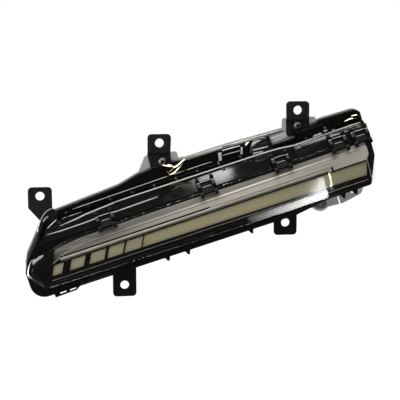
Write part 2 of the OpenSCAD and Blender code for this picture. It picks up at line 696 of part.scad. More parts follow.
module bracket_seats() {
    // Gussets behind the upper brackets, and raised pads behind the flat ones
    in_row() {
        for (i = [0, 3, 4]) translate([holes[i][0], 0, holes[i][1]]) {
            pin_w(screws[i][0], screws[i][1], 6, steel_t, foot_y + rear_wall + 6);
        }
        translate([holes[1][0], 0, holes[1][1]]) {
            prism_w([[-22, -32], [22, -24], [18, -9.6, 2], [15, -9.4, 1], [-12, -12.6, 1], [-15, -14.5, 2]],
                    foot_y, foot_y + rear_wall);
            pin_w(screws[1][0], screws[1][1], 5, foot_y, foot_y + rear_wall + 6);
        }
        translate([holes[2][0], 0, holes[2][1]]) {
            prism_w([[-16, -28], [22, -22], [19.4, -7.2, 2], [-15, -8.6, 2]], foot_y, foot_y + rear_wall);
            pin_w(screws[2][0], screws[2][1], 5, foot_y, foot_y + rear_wall + 6);
        }
    }
}
module bracket_screw_holes() {
    in_row() for (i = [0:4]) translate([holes[i][0], 0, holes[i][1]])
        pin_w(screws[i][0], screws[i][1], screw_d / 2 + seat, -5, foot_y + rear_wall + 4.5);
}
module screw_form(r, length, head_r, head_h) {
    // A round headed screw along +Y with its head seat at the origin
    rotate([-90, 0, 0]) cylinder(r = r, h = length);
    rotate([90, 0, 0]) difference() {
        union() {
            cylinder(r = head_r, h = head_h * 0.6);
            translate([0, 0, head_h * 0.6]) cylinder(r1 = head_r, r2 = head_r * 0.6, h = head_h * 0.4);
        }
        translate([0, 0, head_h * 0.45]) cylinder(r = head_r * 0.42, h = head_h, $fn = 6);
    }
}
module bracket_screws() {
    color("silver") for (i = [0:4]) translate([holes[i][0], 0, holes[i][1]])
        translate([screws[i][0], bent[i] ? foot_y - steel_t : 0, screws[i][1]])
            screw_form(screw_d / 2, bent[i] ? steel_t + rear_wall + 3.5 : foot_y + rear_wall + 3.5, screw_d - 0.4, 2.8);
}

// Lens clips: two cheeks, a bar and a foot that holds down the upper edge of the lens
facet_dir = unit([face_w + gasket_t - crease_w, ledge_v + 1.3 - crease_v]);
function on_facet(a, h) = [crease_w, crease_v] + facet_dir * a + left_of(facet_dir) * h;
ledge_dir = unit([1, ledge_rise]);
function on_ledge(b, h) = [face_w, ledge_v] + ledge_dir * b + left_of(ledge_dir) * h;
facet_len = (ledge_v - crease_v) / facet_dir[1];
clip_gap = 0.2;
function blunt(p, r) = [p[0], p[1], r];
function cheek() = [
    blunt(on_facet(4.2, clip_gap), 1), on_facet(facet_len, clip_gap), on_ledge(0.6, clip_gap),
    blunt(on_ledge(11, clip_gap), 0.6), blunt(on_ledge(11.6, 4.6), 2), [face_w + 6.4, ledge_v + clip_rise - 4, 1],
    [face_w + 5.6, ledge_v + clip_rise + 0.6, 2.2], [face_w - 0.2, ledge_v + clip_rise + 1.2, 2.4],
    [face_w - 1.2, ledge_v + clip_rise - 4.4, 1], [face_w - 4.6, ledge_v + 3.2, 1.5], blunt(on_facet(9.6, 2.4), 1),
    blunt(on_facet(7.6, 4.6), 1.8), blunt(on_facet(3.8, 4.2), 1.6)
];
module lens_clip(u) {
    color([0.1, 0.1, 0.1]) in_body() union() {
        for (s = [u - clip_len / 2, u + clip_len / 2 - cheek_t]) prism_u(turned(cheek()), s, s + cheek_t);
        translate([u - clip_len / 2 + 1, face_w + 1.2, ledge_v + clip_rise - 4.6])
            rotate([0, 90, 0]) cylinder(d = clip_bar_d, h = clip_len - 2);
        prism_u(turned([on_facet(8.2, clip_gap), on_facet(facet_len, clip_gap), on_ledge(0.6, clip_gap),
                        on_ledge(9, clip_gap), on_ledge(9, 1.6), on_ledge(0.8, 1.8), on_facet(facet_len, 1.8),
                        on_facet(8.2, 1.8)]), u - clip_len / 2 + 1, u + clip_len / 2 - 1);
    }
}
clip_us = [66, 170, strip_len - 78, strip_len - 18, strip_len + 5.5];
module lens_clip_1() {
    lens_clip(clip_us[0]);
}
module lens_clip_2() {
    lens_clip(clip_us[1]);
}
module lens_clip_3() {
    lens_clip(clip_us[2]);
}
module lens_clip_4() {
    lens_clip(clip_us[3]);
}
module lens_clip_5() {
    lens_clip(clip_us[4]);
}

// Service cap on the upright wall
module service_cap() {
    color(BLACK) in_body() difference() {
        union() {
            pin_w(cap_u, cap_v, cap_r, wall_w - gasket_t - 3, wall_w - gasket_t);
            pin_w(cap_u, cap_v, cap_r - 2, wall_w - gasket_t - 4.6, wall_w - gasket_t - 3);
            pin_w(cap_u, cap_v, cap_neck_r, wall_w - gasket_t - 1, wall_w + frame_wall + 2);
            for (v = [cap_v - 3.4, cap_v + 0.4, cap_v + 4.2])
                box(cap_u - 7, cap_u + 7, wall_w - gasket_t - 5.8, wall_w - gasket_t - 4, v - 0.8, v + 0.8);
        }
        pin_w(cap_u, cap_v, cap_neck_r - 1.6, wall_w, wall_w + frame_wall + 3);
    }
}
module service_cap_seal() {
    color("dimgray") in_body() difference() {
        pin_w(cap_u, cap_v, cap_r - 0.8, wall_w - gasket_t + 0.05, wall_w - 0.05);
        pin_w(cap_u, cap_v, cap_r - 3, 0, far);
    }
}

// Heat sink: plate behind the board, a web through the back and fins outside
web_v = 1.5;
module heat_sink() {
    z = sink_zone;
    plate_w = back_w + gasket_t;
    color("lightgray") in_body() difference() {
        union() {
            box(-1, strip_len + 2, sink_w + seat, sink_w + 2.6, board_low_v, board_high_v);
            for (v = [web_v, web_v + 14])
                box(z[0] + 4, z[1] - 4, v < 5 ? sink_w + 1 : plate_w - 18, plate_w + 1, v, v + 3);
            box(z[0] - 8, z[1] + 8, plate_w, plate_w + 3, z[2] - 7, z[3] + 7);
            for (v = [z[2] - 5.5:4.4:z[3] + 5]) box(z[0] - 6, z[1] + 6, plate_w + 2, plate_w + 13, v, v + 1.8);
        }
        for (p = corners_of(z, 4.5)) {
            pin_w(p[0], p[1], 1.8, plate_w - 5, plate_w + 30);
            pin_w(p[0], p[1], 4.2, plate_w + 3, plate_w + 30);
        }
        for (u = board_screw_us) pin_w(u, board_low_v + 3, 1.2, 0, sink_w + 10);
    }
}
module zone_seal(z) {
    color("dimgray") in_body() difference() {
        box(z[0] - 7.6, z[1] + 7.6, back_w + 0.05, back_w + gasket_t - 0.05, z[2] - 6.6, z[3] + 6.6);
        box(z[0], z[1], 0, far, z[2], z[3]);
        for (p = corners_of(z, 4.5)) pin_w(p[0], p[1], 2, 0, far);
    }
}
module heat_sink_seal() {
    zone_seal(sink_zone);
}
module zone_screws(z, w) {
    color("silver") in_body() for (p = corners_of(z, 4.5))
        translate([p[0], w, p[1]]) rotate([0, 0, 180]) screw_form(1.3, w - back_w + 6, 2.8, 2);
}
module heat_sink_screws() {
    zone_screws(sink_zone, back_w + gasket_t + 3);
}

// Driver electronics under a cover on the back
cover_deep = 8;
module driver_cover() {
    z = cover_zone;
    w0 = back_w + gasket_t;
    color(BLACK) in_body() difference() {
        union() {
            box(z[0] - 8, z[1] + 8, w0, w0 + 2.4, z[2] - 7, z[3] + 7);
            prism_w([[z[0] - 1, z[2] - 1, 3], [z[1] + 1, z[2] - 1, 3], [z[1] + 1, z[3] + 1, 3], [z[0] - 1, z[3] + 1, 3]],
                    w0 + 1, w0 + cover_deep);
            for (u = [z[0] + 8:9:z[1] - 6]) box(u, u + 2, w0 + 2, w0 + cover_deep + 1.5, z[2] + 3, z[3] - 3);
        }
        box(z[0] + 1, z[1] - 1, w0 - 1, w0 + cover_deep - 2, z[2] + 1, z[3] - 1);
        for (p = corners_of(z, 4.5)) {
            pin_w(p[0], p[1], 1.8, w0 - 5, w0 + 30);
            pin_w(p[0], p[1], 3.4, w0 + 2.4, w0 + 30);
        }
    }
}
module driver_cover_seal() {
    zone_seal(cover_zone);
}
module driver_cover_screws() {
    zone_screws(cover_zone, back_w + gasket_t + 2.4);
}
driver_w = back_w - 1.2;
module driver_board() {
    z = cover_zone;
    color("darkgreen") in_body() union() {
        box(z[0] + 1 + fit, z[1] - 1 - fit, driver_w, driver_w + 1.6, z[2] + 1 + fit, z[3] - 1 - fit);
        for (u = [z[0] + 4, z[1] - 7]) for (v = [z[2] + 4, z[3] - 7])
            box(u, u + 3, driver_w + 1.6, back_w + gasket_t + cover_deep - 2 - seat, v, v + 3);
    }
}
module driver_parts() {
    z = cover_zone;
    color([0.15, 0.15, 0.16]) in_body() {
        for (i = [0:3]) box(z[0] + 9 + i * 17, z[0] + 19 + i * 17, driver_w - 3.5, driver_w, z[2] + 16, z[2] + 26);
        for (i = [0:4]) pin_w(z[0] + 14 + i * 12.5, z[2] + 9, 3.6, driver_w - 9, driver_w);
    }
}

// Connector on the back, upright in the car, with four pins
plug_w = 24;
plug_h = 14;
plug_wall = 1.8;
plug_len = 20;
plug_x = body_place[0] + plug_place[0] * cos(slope_deg) - plug_place[1] * sin(slope_deg);
plug_z = body_place[2] + plug_place[0] * sin(slope_deg) + plug_place[1] * cos(slope_deg);
plug_y = back_w - tab_depth;
module upright_box(w, h, y0, y1) {
    translate([plug_x - w / 2, y0, plug_z - h / 2]) cube([w, y1 - y0, h]);
}
module plug_cut() {
    in_row() upright_box(plug_w - 4, plug_h - 4, plug_y - 20, plug_y + 1);
}
module connector_body() {
    color([0.12, 0.12, 0.13]) difference() {
        union() {
            upright_box(plug_w + 8, plug_h + 8, plug_y + seat, plug_y + 2.5);
            upright_box(plug_w, plug_h, plug_y + 2, plug_y + plug_len);
            upright_box(plug_w - 4 - 2 * fit, plug_h - 4 - 2 * fit, plug_y - 3, plug_y + 2);
            translate([plug_x - 3, plug_y + 8, plug_z + plug_h / 2 - 0.5]) cube([6, 6, 2.2]);
            for (s = [-1, 1]) translate([plug_x + s * plug_w / 2 - 1, plug_y + 2, plug_z - 5]) cube([2, plug_len - 2, 2]);
        }
        upright_box(plug_w - 2 * plug_wall, plug_h - 2 * plug_wall, plug_y + 4, plug_y + plug_len + 1);
        for (x = pin_xs) translate([plug_x + x - 0.8, plug_y - 10, plug_z - 0.8]) cube([1.6, 30, 1.6]);
    }
}
pin_xs = [-7.5, -2.5, 2.5, 7.5];
module connector_pins() {
    color("gold") for (x = pin_xs)
        translate([plug_x + x - 0.75, plug_y - 8, plug_z - 0.75]) cube([1.5, 22, 1.5]);
}

// Breather on the back
module breather_cap() {
    r = 6;
    color(BLACK) in_body() difference() {
        union() {
            pin_w(breather_place[0], breather_place[1], r + 2.6, back_w + 0.4, back_w + 6.5);
            pin_w(breather_place[0], breather_place[1], r, back_w + 6, back_w + 8);
        }
        pin_w(breather_place[0], breather_place[1], r + 0.15, 0, back_w + 4.2);
        for (a = [0:60:300]) translate([breather_place[0], back_w, breather_place[1]]) rotate([0, a, 0])
            translate([r + 1, -1, -1]) cube([4, 4, 2]);
    }
}
module breather_membrane() {
    color("white") in_body() pin_w(breather_place[0], breather_place[1], 5.4, back_w + 3.1, back_w + 3.6);
}
module frame_screws() {
    color("silver") in_body() for (p = frame_screw_places)
        translate([p[0], split_w + rear_wall, p[1]]) rotate([0, 0, 180])
            screw_form(screw_d / 2 - 0.3, rear_wall + 6, 3.4, 2.4);
}

rear_housing();
front_frame();
outer_lens();
lens_seal();
inner_bezel();
reflector_band();
light_guide_rod();
rod_channel();
rod_led_board();
diffuser_bar();
mixing_trough();
led_board();
led_chips();
heat_sink();
heat_sink_seal();
heat_sink_screws();
driver_board();
driver_parts();
driver_cover();
driver_cover_seal();
driver_cover_screws();
connector_body();
connector_pins();
service_cap();
service_cap_seal();
breather_cap();
breather_membrane();
frame_screws();
bracket_a();
bracket_b();
bracket_c();
bracket_d();
bracket_e();
bracket_screws();
lens_clip_1();
lens_clip_2();
lens_clip_3();
lens_clip_4();
lens_clip_5();
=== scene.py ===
# %% [markdown]
# A daytime running light: a long lamp that rises to one side and hangs on five sheet steel tabs.
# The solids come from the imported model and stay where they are. This lesson gives them their finishes,
# adds the fine trim that is too small for the solids, and sets up the light in which they are seen.
# All lengths are in metres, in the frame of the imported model: X to the outer end, Y into the car, Z up.

import json
import math

import bpy
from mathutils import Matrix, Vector


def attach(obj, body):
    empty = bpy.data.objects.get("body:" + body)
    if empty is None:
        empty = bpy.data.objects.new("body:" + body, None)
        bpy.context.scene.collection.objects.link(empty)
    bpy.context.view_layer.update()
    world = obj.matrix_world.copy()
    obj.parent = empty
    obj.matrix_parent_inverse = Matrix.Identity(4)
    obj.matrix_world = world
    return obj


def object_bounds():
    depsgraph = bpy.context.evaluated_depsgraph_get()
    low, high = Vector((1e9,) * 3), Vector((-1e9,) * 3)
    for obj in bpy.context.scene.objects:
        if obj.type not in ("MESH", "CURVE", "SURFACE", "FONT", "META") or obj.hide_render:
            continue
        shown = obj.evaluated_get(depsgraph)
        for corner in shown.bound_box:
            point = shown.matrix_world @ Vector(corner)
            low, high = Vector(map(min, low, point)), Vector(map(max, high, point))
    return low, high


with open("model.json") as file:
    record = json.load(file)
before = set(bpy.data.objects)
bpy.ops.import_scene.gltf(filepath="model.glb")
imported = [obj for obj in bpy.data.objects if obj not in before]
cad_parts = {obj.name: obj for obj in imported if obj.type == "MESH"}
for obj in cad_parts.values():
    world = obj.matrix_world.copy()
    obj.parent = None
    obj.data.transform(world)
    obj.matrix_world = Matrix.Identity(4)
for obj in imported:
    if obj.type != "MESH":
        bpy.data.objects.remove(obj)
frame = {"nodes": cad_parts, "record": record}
solid_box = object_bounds()
print("solids:", len(frame["nodes"]), "box:", [round(x, 4) for corner in solid_box for x in corner])

# %% [markdown]
# The lamp leans, so its own directions are handier than the car's: u runs along it, w goes back and
# v stands square to both. A place is read in millimetres along these three and turned into metres here.

# %% The lamp's own directions
MM = 0.001
SLOPE = math.radians(17.2)
STRIP_CORNER = Vector((10.05, -56.0, -70.2)) * MM
ALONG = Vector((math.cos(SLOPE), 0, math.sin(SLOPE)))
BACK = Vector((0, 1, 0))
RISE = Vector((-math.sin(SLOPE), 0, math.cos(SLOPE)))
STRIP_LEN = 325.2


def at(u, w, v):
    """A place on the lamp, given in millimetres along its own directions."""
    return STRIP_CORNER + (ALONG * u + BACK * w + RISE * v) * MM


def turned(u, w, v):
    """A direction given along the lamp's own directions."""
    return (ALONG * u + BACK * w + RISE * v).normalized()


print("strip corner:", [round(x, 4) for x in at(0, 0, 0)],
      "far end:", [round(x, 4) for x in at(STRIP_LEN, 0, 0)])

# %% [markdown]
# The camera stands 1.1 m away, 8 degrees towards the inner end and 10 degrees above. A long lens keeps
# the perspective as flat as in a catalogue picture. One millimetre at the lamp is then one pixel of 400.

# %% Camera
CAMERA_TURN = math.radians(8)
CAMERA_LIFT = math.radians(10)
CAMERA_FAR = 1.1
CAMERA_LENS = 99
LOOK_AT = Vector((158.42, -22.91, -3.64)) * MM

view_way = Vector((math.sin(CAMERA_TURN) * math.cos(CAMERA_LIFT),
                   math.cos(CAMERA_TURN) * math.cos(CAMERA_LIFT),
                   -math.sin(CAMERA_LIFT)))
camera = bpy.data.objects.new("camera", bpy.data.cameras.new("camera"))
camera.data.lens = CAMERA_LENS
camera.data.clip_start = 0.05
camera.location = LOOK_AT - view_way * CAMERA_FAR
camera.rotation_mode = "QUATERNION"
camera.rotation_quaternion = view_way.to_track_quat("-Z", "Y")
bpy.context.scene.collection.objects.link(camera)
bpy.context.scene.camera = camera
bpy.context.scene.view_settings.view_transform = "Standard"
print("camera at", [round(x, 3) for x in camera.location])

# %% [markdown]
# Nodes can be wired by hand in the editor, but a script shows every step. Three small helpers keep it short:
# the first makes one node and fills its sockets with plain values or with links, the second starts a node
# group whose sockets have names, and the third does one step of arithmetic.

# %% Helpers for nodes
def add(tree, kind, inputs=None, **settings):
    """Makes one shader node, sets it up, and fills its inputs with values or links."""
    node = tree.nodes.new("ShaderNode" + kind)
    for name, value in settings.items():
        setattr(node, name, value)
    for name, value in (inputs or {}).items():
        if isinstance(value, bpy.types.NodeSocket):
            tree.links.new(value, node.inputs[name])
        else:
            node.inputs[name].default_value = value
    return node


def start_group(name, inputs, outputs):
    """A node group with named sockets: inputs are (name, default), outputs are (name, kind)."""
    group = bpy.data.node_groups.new(name, "ShaderNodeTree")
    for label, default in inputs:
        socket = group.interface.new_socket(label, in_out="INPUT", socket_type="NodeSocketFloat")
        socket.default_value = default
    for label, kind in outputs:
        group.interface.new_socket(label, in_out="OUTPUT", socket_type="NodeSocket" + kind)
    return group, group.nodes.new("NodeGroupInput"), group.nodes.new("NodeGroupOutput")


def maths(tree, operation, a, b=0.0, clamp=False):
    """One sum, product or other step of arithmetic on one or two values."""
    return add(tree, "Math", {0: a, 1: b}, operation=operation, use_clamp=clamp).outputs[0]


print("helpers:", [tool.__name__ for tool in (add, start_group, maths)])

# %% [markdown]
# Moulded and pressed edges are never knife sharp. A bevel node rounds them in the light without touching
# the solid, and the angle between the rounded and the true surface says where an edge is. That angle,
# broken up by noise, is where a part has been rubbed on its way through the shop.

# %% Group: soft edges and worn edges
def make_edges():
    group, given, out = start_group("Edges", [("Radius", 0.0004), ("Patchiness", 0.5)],
                                    [("Normal", "Vector"), ("Worn", "Float")])
    soft = add(group, "Bevel", {"Radius": given.outputs["Radius"]}, samples=6)
    wide = add(group, "Bevel", {"Radius": maths(group, "MULTIPLY", given.outputs["Radius"], 1.6)}, samples=4)
    true = add(group, "NewGeometry")
    spot = add(group, "TexCoord")
    facing = add(group, "VectorMath", {0: wide.outputs[0], 1: true.outputs["Normal"]},
                 operation="DOT_PRODUCT")
    bend = maths(group, "SUBTRACT", 1.0, facing.outputs["Value"])
    patches = add(group, "TexNoise", {"Vector": spot.outputs["Object"], "Scale": 220.0, "Detail": 4.0})
    patchy = maths(group, "SUBTRACT", patches.outputs["Fac"],
                   maths(group, "MULTIPLY", given.outputs["Patchiness"], 0.8))
    worn = maths(group, "MULTIPLY", maths(group, "MULTIPLY", bend, 6.0, True),
                 maths(group, "MULTIPLY", patchy, 5.0, True), True)
    group.links.new(soft.outputs[0], out.inputs["Normal"])
    group.links.new(worn, out.inputs["Worn"])
    return group


EDGES = make_edges()
print("group:", EDGES.name)

# %% [markdown]
# A spark eroded mould leaves a fine orange peel, and the melt leaves faint flow streaks along the lamp.
# One group gives both: a height for bump and a tone that makes the colour and the gloss uneven.

# %% Group: moulded skin
def make_skin():
    group, given, out = start_group("Moulded skin", [("Scale", 1500.0), ("Streaks", 0.3)],
                                    [("Height", "Float"), ("Tone", "Float")])
    spot = add(group, "TexCoord")
    peel = add(group, "TexNoise", {"Vector": spot.outputs["Object"], "Scale": given.outputs["Scale"],
                                   "Detail": 3.0})
    along = add(group, "Mapping", {"Vector": spot.outputs["Object"], "Rotation": (0, SLOPE, 0),
                                   "Scale": (12, 150, 150)})
    flow = add(group, "TexNoise", {"Vector": along.outputs[0], "Scale": 1.0, "Detail": 5.0, "Roughness": 0.6})
    cloud = add(group, "TexNoise", {"Vector": spot.outputs["Object"], "Scale": 28.0, "Detail": 4.0})
    uneven = maths(group, "SUBTRACT", flow.outputs["Fac"], 0.5)
    streak = maths(group, "MULTIPLY", uneven, given.outputs["Streaks"])
    tone = maths(group, "ADD", cloud.outputs["Fac"], streak, True)
    height = maths(group, "ADD", peel.outputs["Fac"], streak)
    group.links.new(height, out.inputs["Height"])
    group.links.new(tone, out.inputs["Tone"])
    return group


SKIN = make_skin()
print("group:", SKIN.name)

# %% [markdown]
# Every part that has lain on a shelf carries some dust and a few hairlines. They never show as colour on
# black plastic, only as spots where the gloss is broken. Dust is a cut-off noise; hairlines are the thin
# borders of very long cells.

# %% Group: dust and hairlines
def make_dust():
    group, given, out = start_group("Dust and hairlines", [("Amount", 0.3)], [("Broken gloss", "Float")])
    spot = add(group, "TexCoord")
    specks = add(group, "TexNoise", {"Vector": spot.outputs["Object"], "Scale": 900.0, "Detail": 2.0})
    speck = add(group, "MapRange", {"Value": specks.outputs["Fac"], "From Min": 0.66, "From Max": 0.74})
    stretched = add(group, "Mapping", {"Vector": spot.outputs["Object"], "Rotation": (0.4, SLOPE, 0.5),
                                       "Scale": (14, 160, 90)})
    cells = add(group, "TexVoronoi", {"Vector": stretched.outputs[0], "Scale": 1.0},
                feature="DISTANCE_TO_EDGE")
    line = add(group, "MapRange", {"Value": cells.outputs["Distance"], "From Min": 0.012, "From Max": 0.0})
    hairline = maths(group, "MULTIPLY", line.outputs["Result"], 0.6)
    both = maths(group, "ADD", speck.outputs["Result"], hairline, True)
    group.links.new(maths(group, "MULTIPLY", both, given.outputs["Amount"]), out.inputs["Broken gloss"])
    return group


DUST = make_dust()
print("group:", DUST.name)

# %% [markdown]
# Some finishes change along the lamp or across it. This group turns a surface point into the lamp's own
# directions and gives them in millimetres from the lower inner corner of the light strip.

# %% Group: places on the lamp
def make_places():
    group, given, out = start_group("Places on the lamp", [], [("Along", "Float"), ("Up", "Float")])
    spot = add(group, "TexCoord")
    lying = add(group, "Mapping", {"Vector": spot.outputs["Object"], "Rotation": (0, SLOPE, 0),
                                   "Location": (-STRIP_CORNER.dot(ALONG), 0, -STRIP_CORNER.dot(RISE))})
    parts = add(group, "SeparateXYZ", {"Vector": lying.outputs[0]})
    group.links.new(maths(group, "MULTIPLY", parts.outputs["X"], 1000.0), out.inputs["Along"])
    group.links.new(maths(group, "MULTIPLY", parts.outputs["Z"], 1000.0), out.inputs["Up"])
    return group


PLACES = make_places()
print("group:", PLACES.name)

# %% [markdown]
# All moulded and painted parts share one recipe: a base colour that the skin's tone shifts a little, edges
# rubbed to a second colour, a gloss that dust and skin break up, and a bump. Each finish calls it with its
# own values. Plain values such as the strength of the reflection sit on the shader's own sockets. A gloss is
# never quite even: it starts at a share of its value and swings up with the skin.

# %% The shared recipe
GLOSS_START, GLOSS_SWING = 0.8, 0.4


def place_group(tree, group, values=None):
    """Places a node group in a material and sets its values."""
    node = tree.nodes.new("ShaderNodeGroup")
    node.node_tree = group
    for name, value in (values or {}).items():
        node.inputs[name].default_value = value
    return node


def fresh_material(name):
    """A new material with its node tree and its main shader."""
    material = bpy.data.materials.new(name)
    material.use_nodes = True
    tree = material.node_tree
    shader = tree.nodes["Principled BSDF"]
    return material, tree, shader


def fill(shader, **values):
    """Sets plain values on the shader, with _ for the spaces in socket names."""
    for name, value in values.items():
        shader.inputs[name.replace("_", " ")].default_value = value


def finish(name, colour, gloss, rubbed=None, vary=0.25, peel=1500.0, depth=0.00002, radius=0.0004,
           dust=0.15, streaks=0.3, patchiness=0.6, **plain):
    """A material for moulded, painted or cast parts. gloss is its roughness where nothing breaks it."""
    material, tree, shader = fresh_material(name)
    edges = place_group(tree, EDGES, {"Radius": radius, "Patchiness": patchiness})
    skin = place_group(tree, SKIN, {"Scale": peel, "Streaks": streaks})
    dusty = place_group(tree, DUST, {"Amount": dust})
    dark = tuple(c * (1 - vary) for c in colour) + (1,)
    light = tuple(min(1, c * (1 + vary)) for c in colour) + (1,)
    toned = add(tree, "Mix", {"Factor": skin.outputs["Tone"], "A": dark, "B": light}, data_type="RGBA")
    if rubbed:
        toned = add(tree, "Mix", {"Factor": edges.outputs["Worn"], "A": toned.outputs["Result"],
                                  "B": tuple(rubbed) + (1,)}, data_type="RGBA")
    tree.links.new(toned.outputs["Result"], shader.inputs["Base Color"])
    uneven = maths(tree, "MULTIPLY", skin.outputs["Tone"], gloss * GLOSS_SWING)
    clean = maths(tree, "ADD", uneven, gloss * GLOSS_START)
    rough = maths(tree, "ADD", clean, dusty.outputs["Broken gloss"], True)
    tree.links.new(rough, shader.inputs["Roughness"])
    bump = add(tree, "Bump", {"Height": skin.outputs["Height"], "Distance": depth,
                              "Normal": edges.outputs["Normal"]})
    tree.links.new(bump.outputs["Normal"], shader.inputs["Normal"])
    fill(shader, **plain)
    return material


print("recipe ready:", finish.__name__)

# %% [markdown]
# The colours are read from the lamp itself: the black of the frame is deep and glossy, the tabs are a warm
# matt black, the housing behind is a mid grey, and the metal parts are zinc or bare aluminium. A black
# moulding keeps its depth only with a weak mirror reflection, so its specular level is low.

# %% Finishes of the opaque parts
finishes = {
    "black_gloss": finish("black_gloss", (0.006, 0.0055, 0.0045), 0.08, rubbed=(0.03, 0.03, 0.028),
                          depth=0.000003, radius=0.0002, Specular_IOR_Level=0.35),
    "bezel_black": finish("bezel_black", (0.007, 0.0065, 0.006), 0.16, depth=0.000006,
                          Specular_IOR_Level=0.2),
    "bead_black": finish("bead_black", (0.006, 0.0055, 0.0045), 0.12, radius=0.00003,
                         depth=0.000004, dust=0.05, Specular_IOR_Level=0.5),
    "clip_black": finish("clip_black", (0.006, 0.006, 0.006), 0.35, rubbed=(0.05, 0.05, 0.05), radius=0.0003,
                         Specular_IOR_Level=0.07),
    "cover_black": finish("cover_black", (0.012, 0.012, 0.012), 0.42, rubbed=(0.04, 0.04, 0.04), peel=900.0,
                          depth=0.00005, Specular_IOR_Level=0.35),
    "bracket_black": finish("bracket_black", (0.014, 0.012, 0.0115), 0.5, rubbed=(0.05, 0.045, 0.042),
                            peel=700.0, depth=0.00006, radius=0.0003, Specular_IOR_Level=0.25),
    "grey_plastic": finish("grey_plastic", (0.62, 0.6, 0.58), 0.42, rubbed=(0.5, 0.49, 0.48), peel=1100.0,
                           depth=0.00004, vary=0.12),
    "white_plastic": finish("white_plastic", (0.78, 0.78, 0.76), 0.4, vary=0.05),
    "white_board": finish("white_board", (0.72, 0.72, 0.7), 0.35, vary=0.05),
    "circuit_board": finish("circuit_board", (0.02, 0.13, 0.05), 0.35, vary=0.3),
    "chip": finish("chip", (0.72, 0.6, 0.16), 0.3, vary=0.1),
    "electronics": finish("electronics", (0.025, 0.025, 0.028), 0.5, vary=0.2),
    "die_cast": finish("die_cast", (0.52, 0.52, 0.52), 0.45, rubbed=(0.75, 0.75, 0.75), peel=800.0,
                       depth=0.00008, Metallic=1.0),
    "gasket": finish("gasket", (0.02, 0.02, 0.021), 0.75, peel=1800.0, depth=0.00003, Specular_IOR_Level=0.3),
    "zinc_screw": finish("zinc_screw", (0.1, 0.098, 0.092), 0.6, rubbed=(0.75, 0.74, 0.7), peel=2500.0,
                         Metallic=1.0),
    "tinned_pin": finish("tinned_pin", (0.6, 0.56, 0.4), 0.3, Metallic=1.0),
    "membrane": finish("membrane", (0.78, 0.78, 0.76), 0.8, peel=3000.0, depth=0.00004),
}
print("finishes:", len(finishes))

# %% [markdown]
# The lens is a shell of clear polycarbonate. Seen from outside it mirrors a little, and more at a flat angle;
# everything else passes straight through, light for the parts behind it too. The shell is so thin that the
# bending of light in it would move the picture by less than a pixel.

# %% Finish of the clear parts
def clear(name, tint, gloss):
    """A thin clear part: a mirror on its outside, and a tinted way through."""
    material, tree, shader = fresh_material(name)
    edges = place_group(tree, EDGES, {"Radius": 0.0004, "Patchiness": 0.5})
    dusty = place_group(tree, DUST, {"Amount": 0.05})
    rough = maths(tree, "ADD", dusty.outputs["Broken gloss"], gloss, True)
    tree.links.new(rough, shader.inputs["Roughness"])
    tree.links.new(edges.outputs["Normal"], shader.inputs["Normal"])
    fill(shader, Base_Color=(1, 1, 1, 1), Metallic=1.0)
    mirror = add(tree, "Fresnel", {"IOR": 1.5, "Normal": edges.outputs["Normal"]})
    outside = maths(tree, "SUBTRACT", 1.0, add(tree, "NewGeometry").outputs["Backfacing"])
    through = add(tree, "BsdfTransparent", {"Color": tint})
    share = maths(tree, "MULTIPLY", mirror.outputs[0], outside)
    mixed = add(tree, "MixShader", {0: share, 1: through.outputs[0], 2: shader.outputs[0]})
    tree.links.new(mixed.outputs[0], tree.nodes["Material Output"].inputs["Surface"])
    return material


finishes["clear_lens"] = clear("clear_lens", (0.95, 0.95, 0.94, 1), 0.02)
print("clear lens ready")

# %% [markdown]
# The light guide is a clear rod with saw teeth along its back. Seen from the front, it is bright along its
# top and dark below, with fine slanted strokes that fade towards the outer end. True glass would need many
# bounces of light to show this, so that light and shade are painted as a ramp from dark to bright across the
# rod, and the strokes are drawn as a wave over it.

# %% Finish of the light guide
def ramp(tree, value, low, high, stops):
    """Colours along a value. stops are (place from 0 to 1, colour or grey)."""
    ranged = add(tree, "MapRange", {"Value": value, "From Min": low, "From Max": high})
    node = add(tree, "ValToRGB", {"Fac": ranged.outputs["Result"]})
    bar = node.color_ramp
    for place, colour in stops[1:-1]:
        bar.elements.new(place)
    for element, (place, colour) in zip(bar.elements, stops):
        element.position = place
        element.color = (colour, colour, colour, 1) if isinstance(colour, float) else tuple(colour) + (1,)
    return node.outputs["Color"]


def blend(tree, factor, a, b, kind="MIX"):
    """Mixes two colours."""
    mixed = add(tree, "Mix", {"Factor": factor, "A": a, "B": b}, data_type="RGBA", blend_type=kind)
    return mixed.outputs["Result"]


ROD_LOW, ROD_HIGH = 10.6, 15.2
STROKE_PITCH = 2.4
# Painted light and shade across the rod: dark at its lower edge, brightest near its top.
ROD_PAINTED_LIGHT = [(0.0, (0.13, 0.11, 0.08)), (0.35, (0.30, 0.27, 0.22)), (0.7, (0.66, 0.62, 0.55)),
             (1.0, (0.42, 0.39, 0.33))]


def guide_rod():
    """The rod: painted light and shade across it, and slanted strokes along it."""
    material, tree, shader = fresh_material("light_guide")
    places = place_group(tree, PLACES)
    along, up = places.outputs["Along"], places.outputs["Up"]
    # painted light and shade across the rod
    across = ramp(tree, up, ROD_LOW, ROD_HIGH, ROD_PAINTED_LIGHT)
    phase = maths(tree, "SUBTRACT", along, maths(tree, "MULTIPLY", up, 0.9))
    strokes = maths(tree, "SINE", maths(tree, "MULTIPLY", phase, 2 * math.pi / STROKE_PITCH))
    fade = ramp(tree, along, 0, STRIP_LEN, [(0.0, 0.30), (0.5, 0.16), (1.0, 0.06)])
    stroke = maths(tree, "ADD", maths(tree, "MULTIPLY", strokes, fade), 1.0)
    tree.links.new(blend(tree, 1.0, across, stroke, "MULTIPLY"), shader.inputs["Base Color"])
    edges = place_group(tree, EDGES, {"Radius": 0.0003, "Patchiness": 0.5})
    bump = add(tree, "Bump", {"Height": strokes, "Distance": 0.00008, "Normal": edges.outputs["Normal"]})
    tree.links.new(bump.outputs["Normal"], shader.inputs["Normal"])
    fill(shader, Roughness=0.22, Coat_Weight=0.3, Coat_Roughness=0.05)
    return material


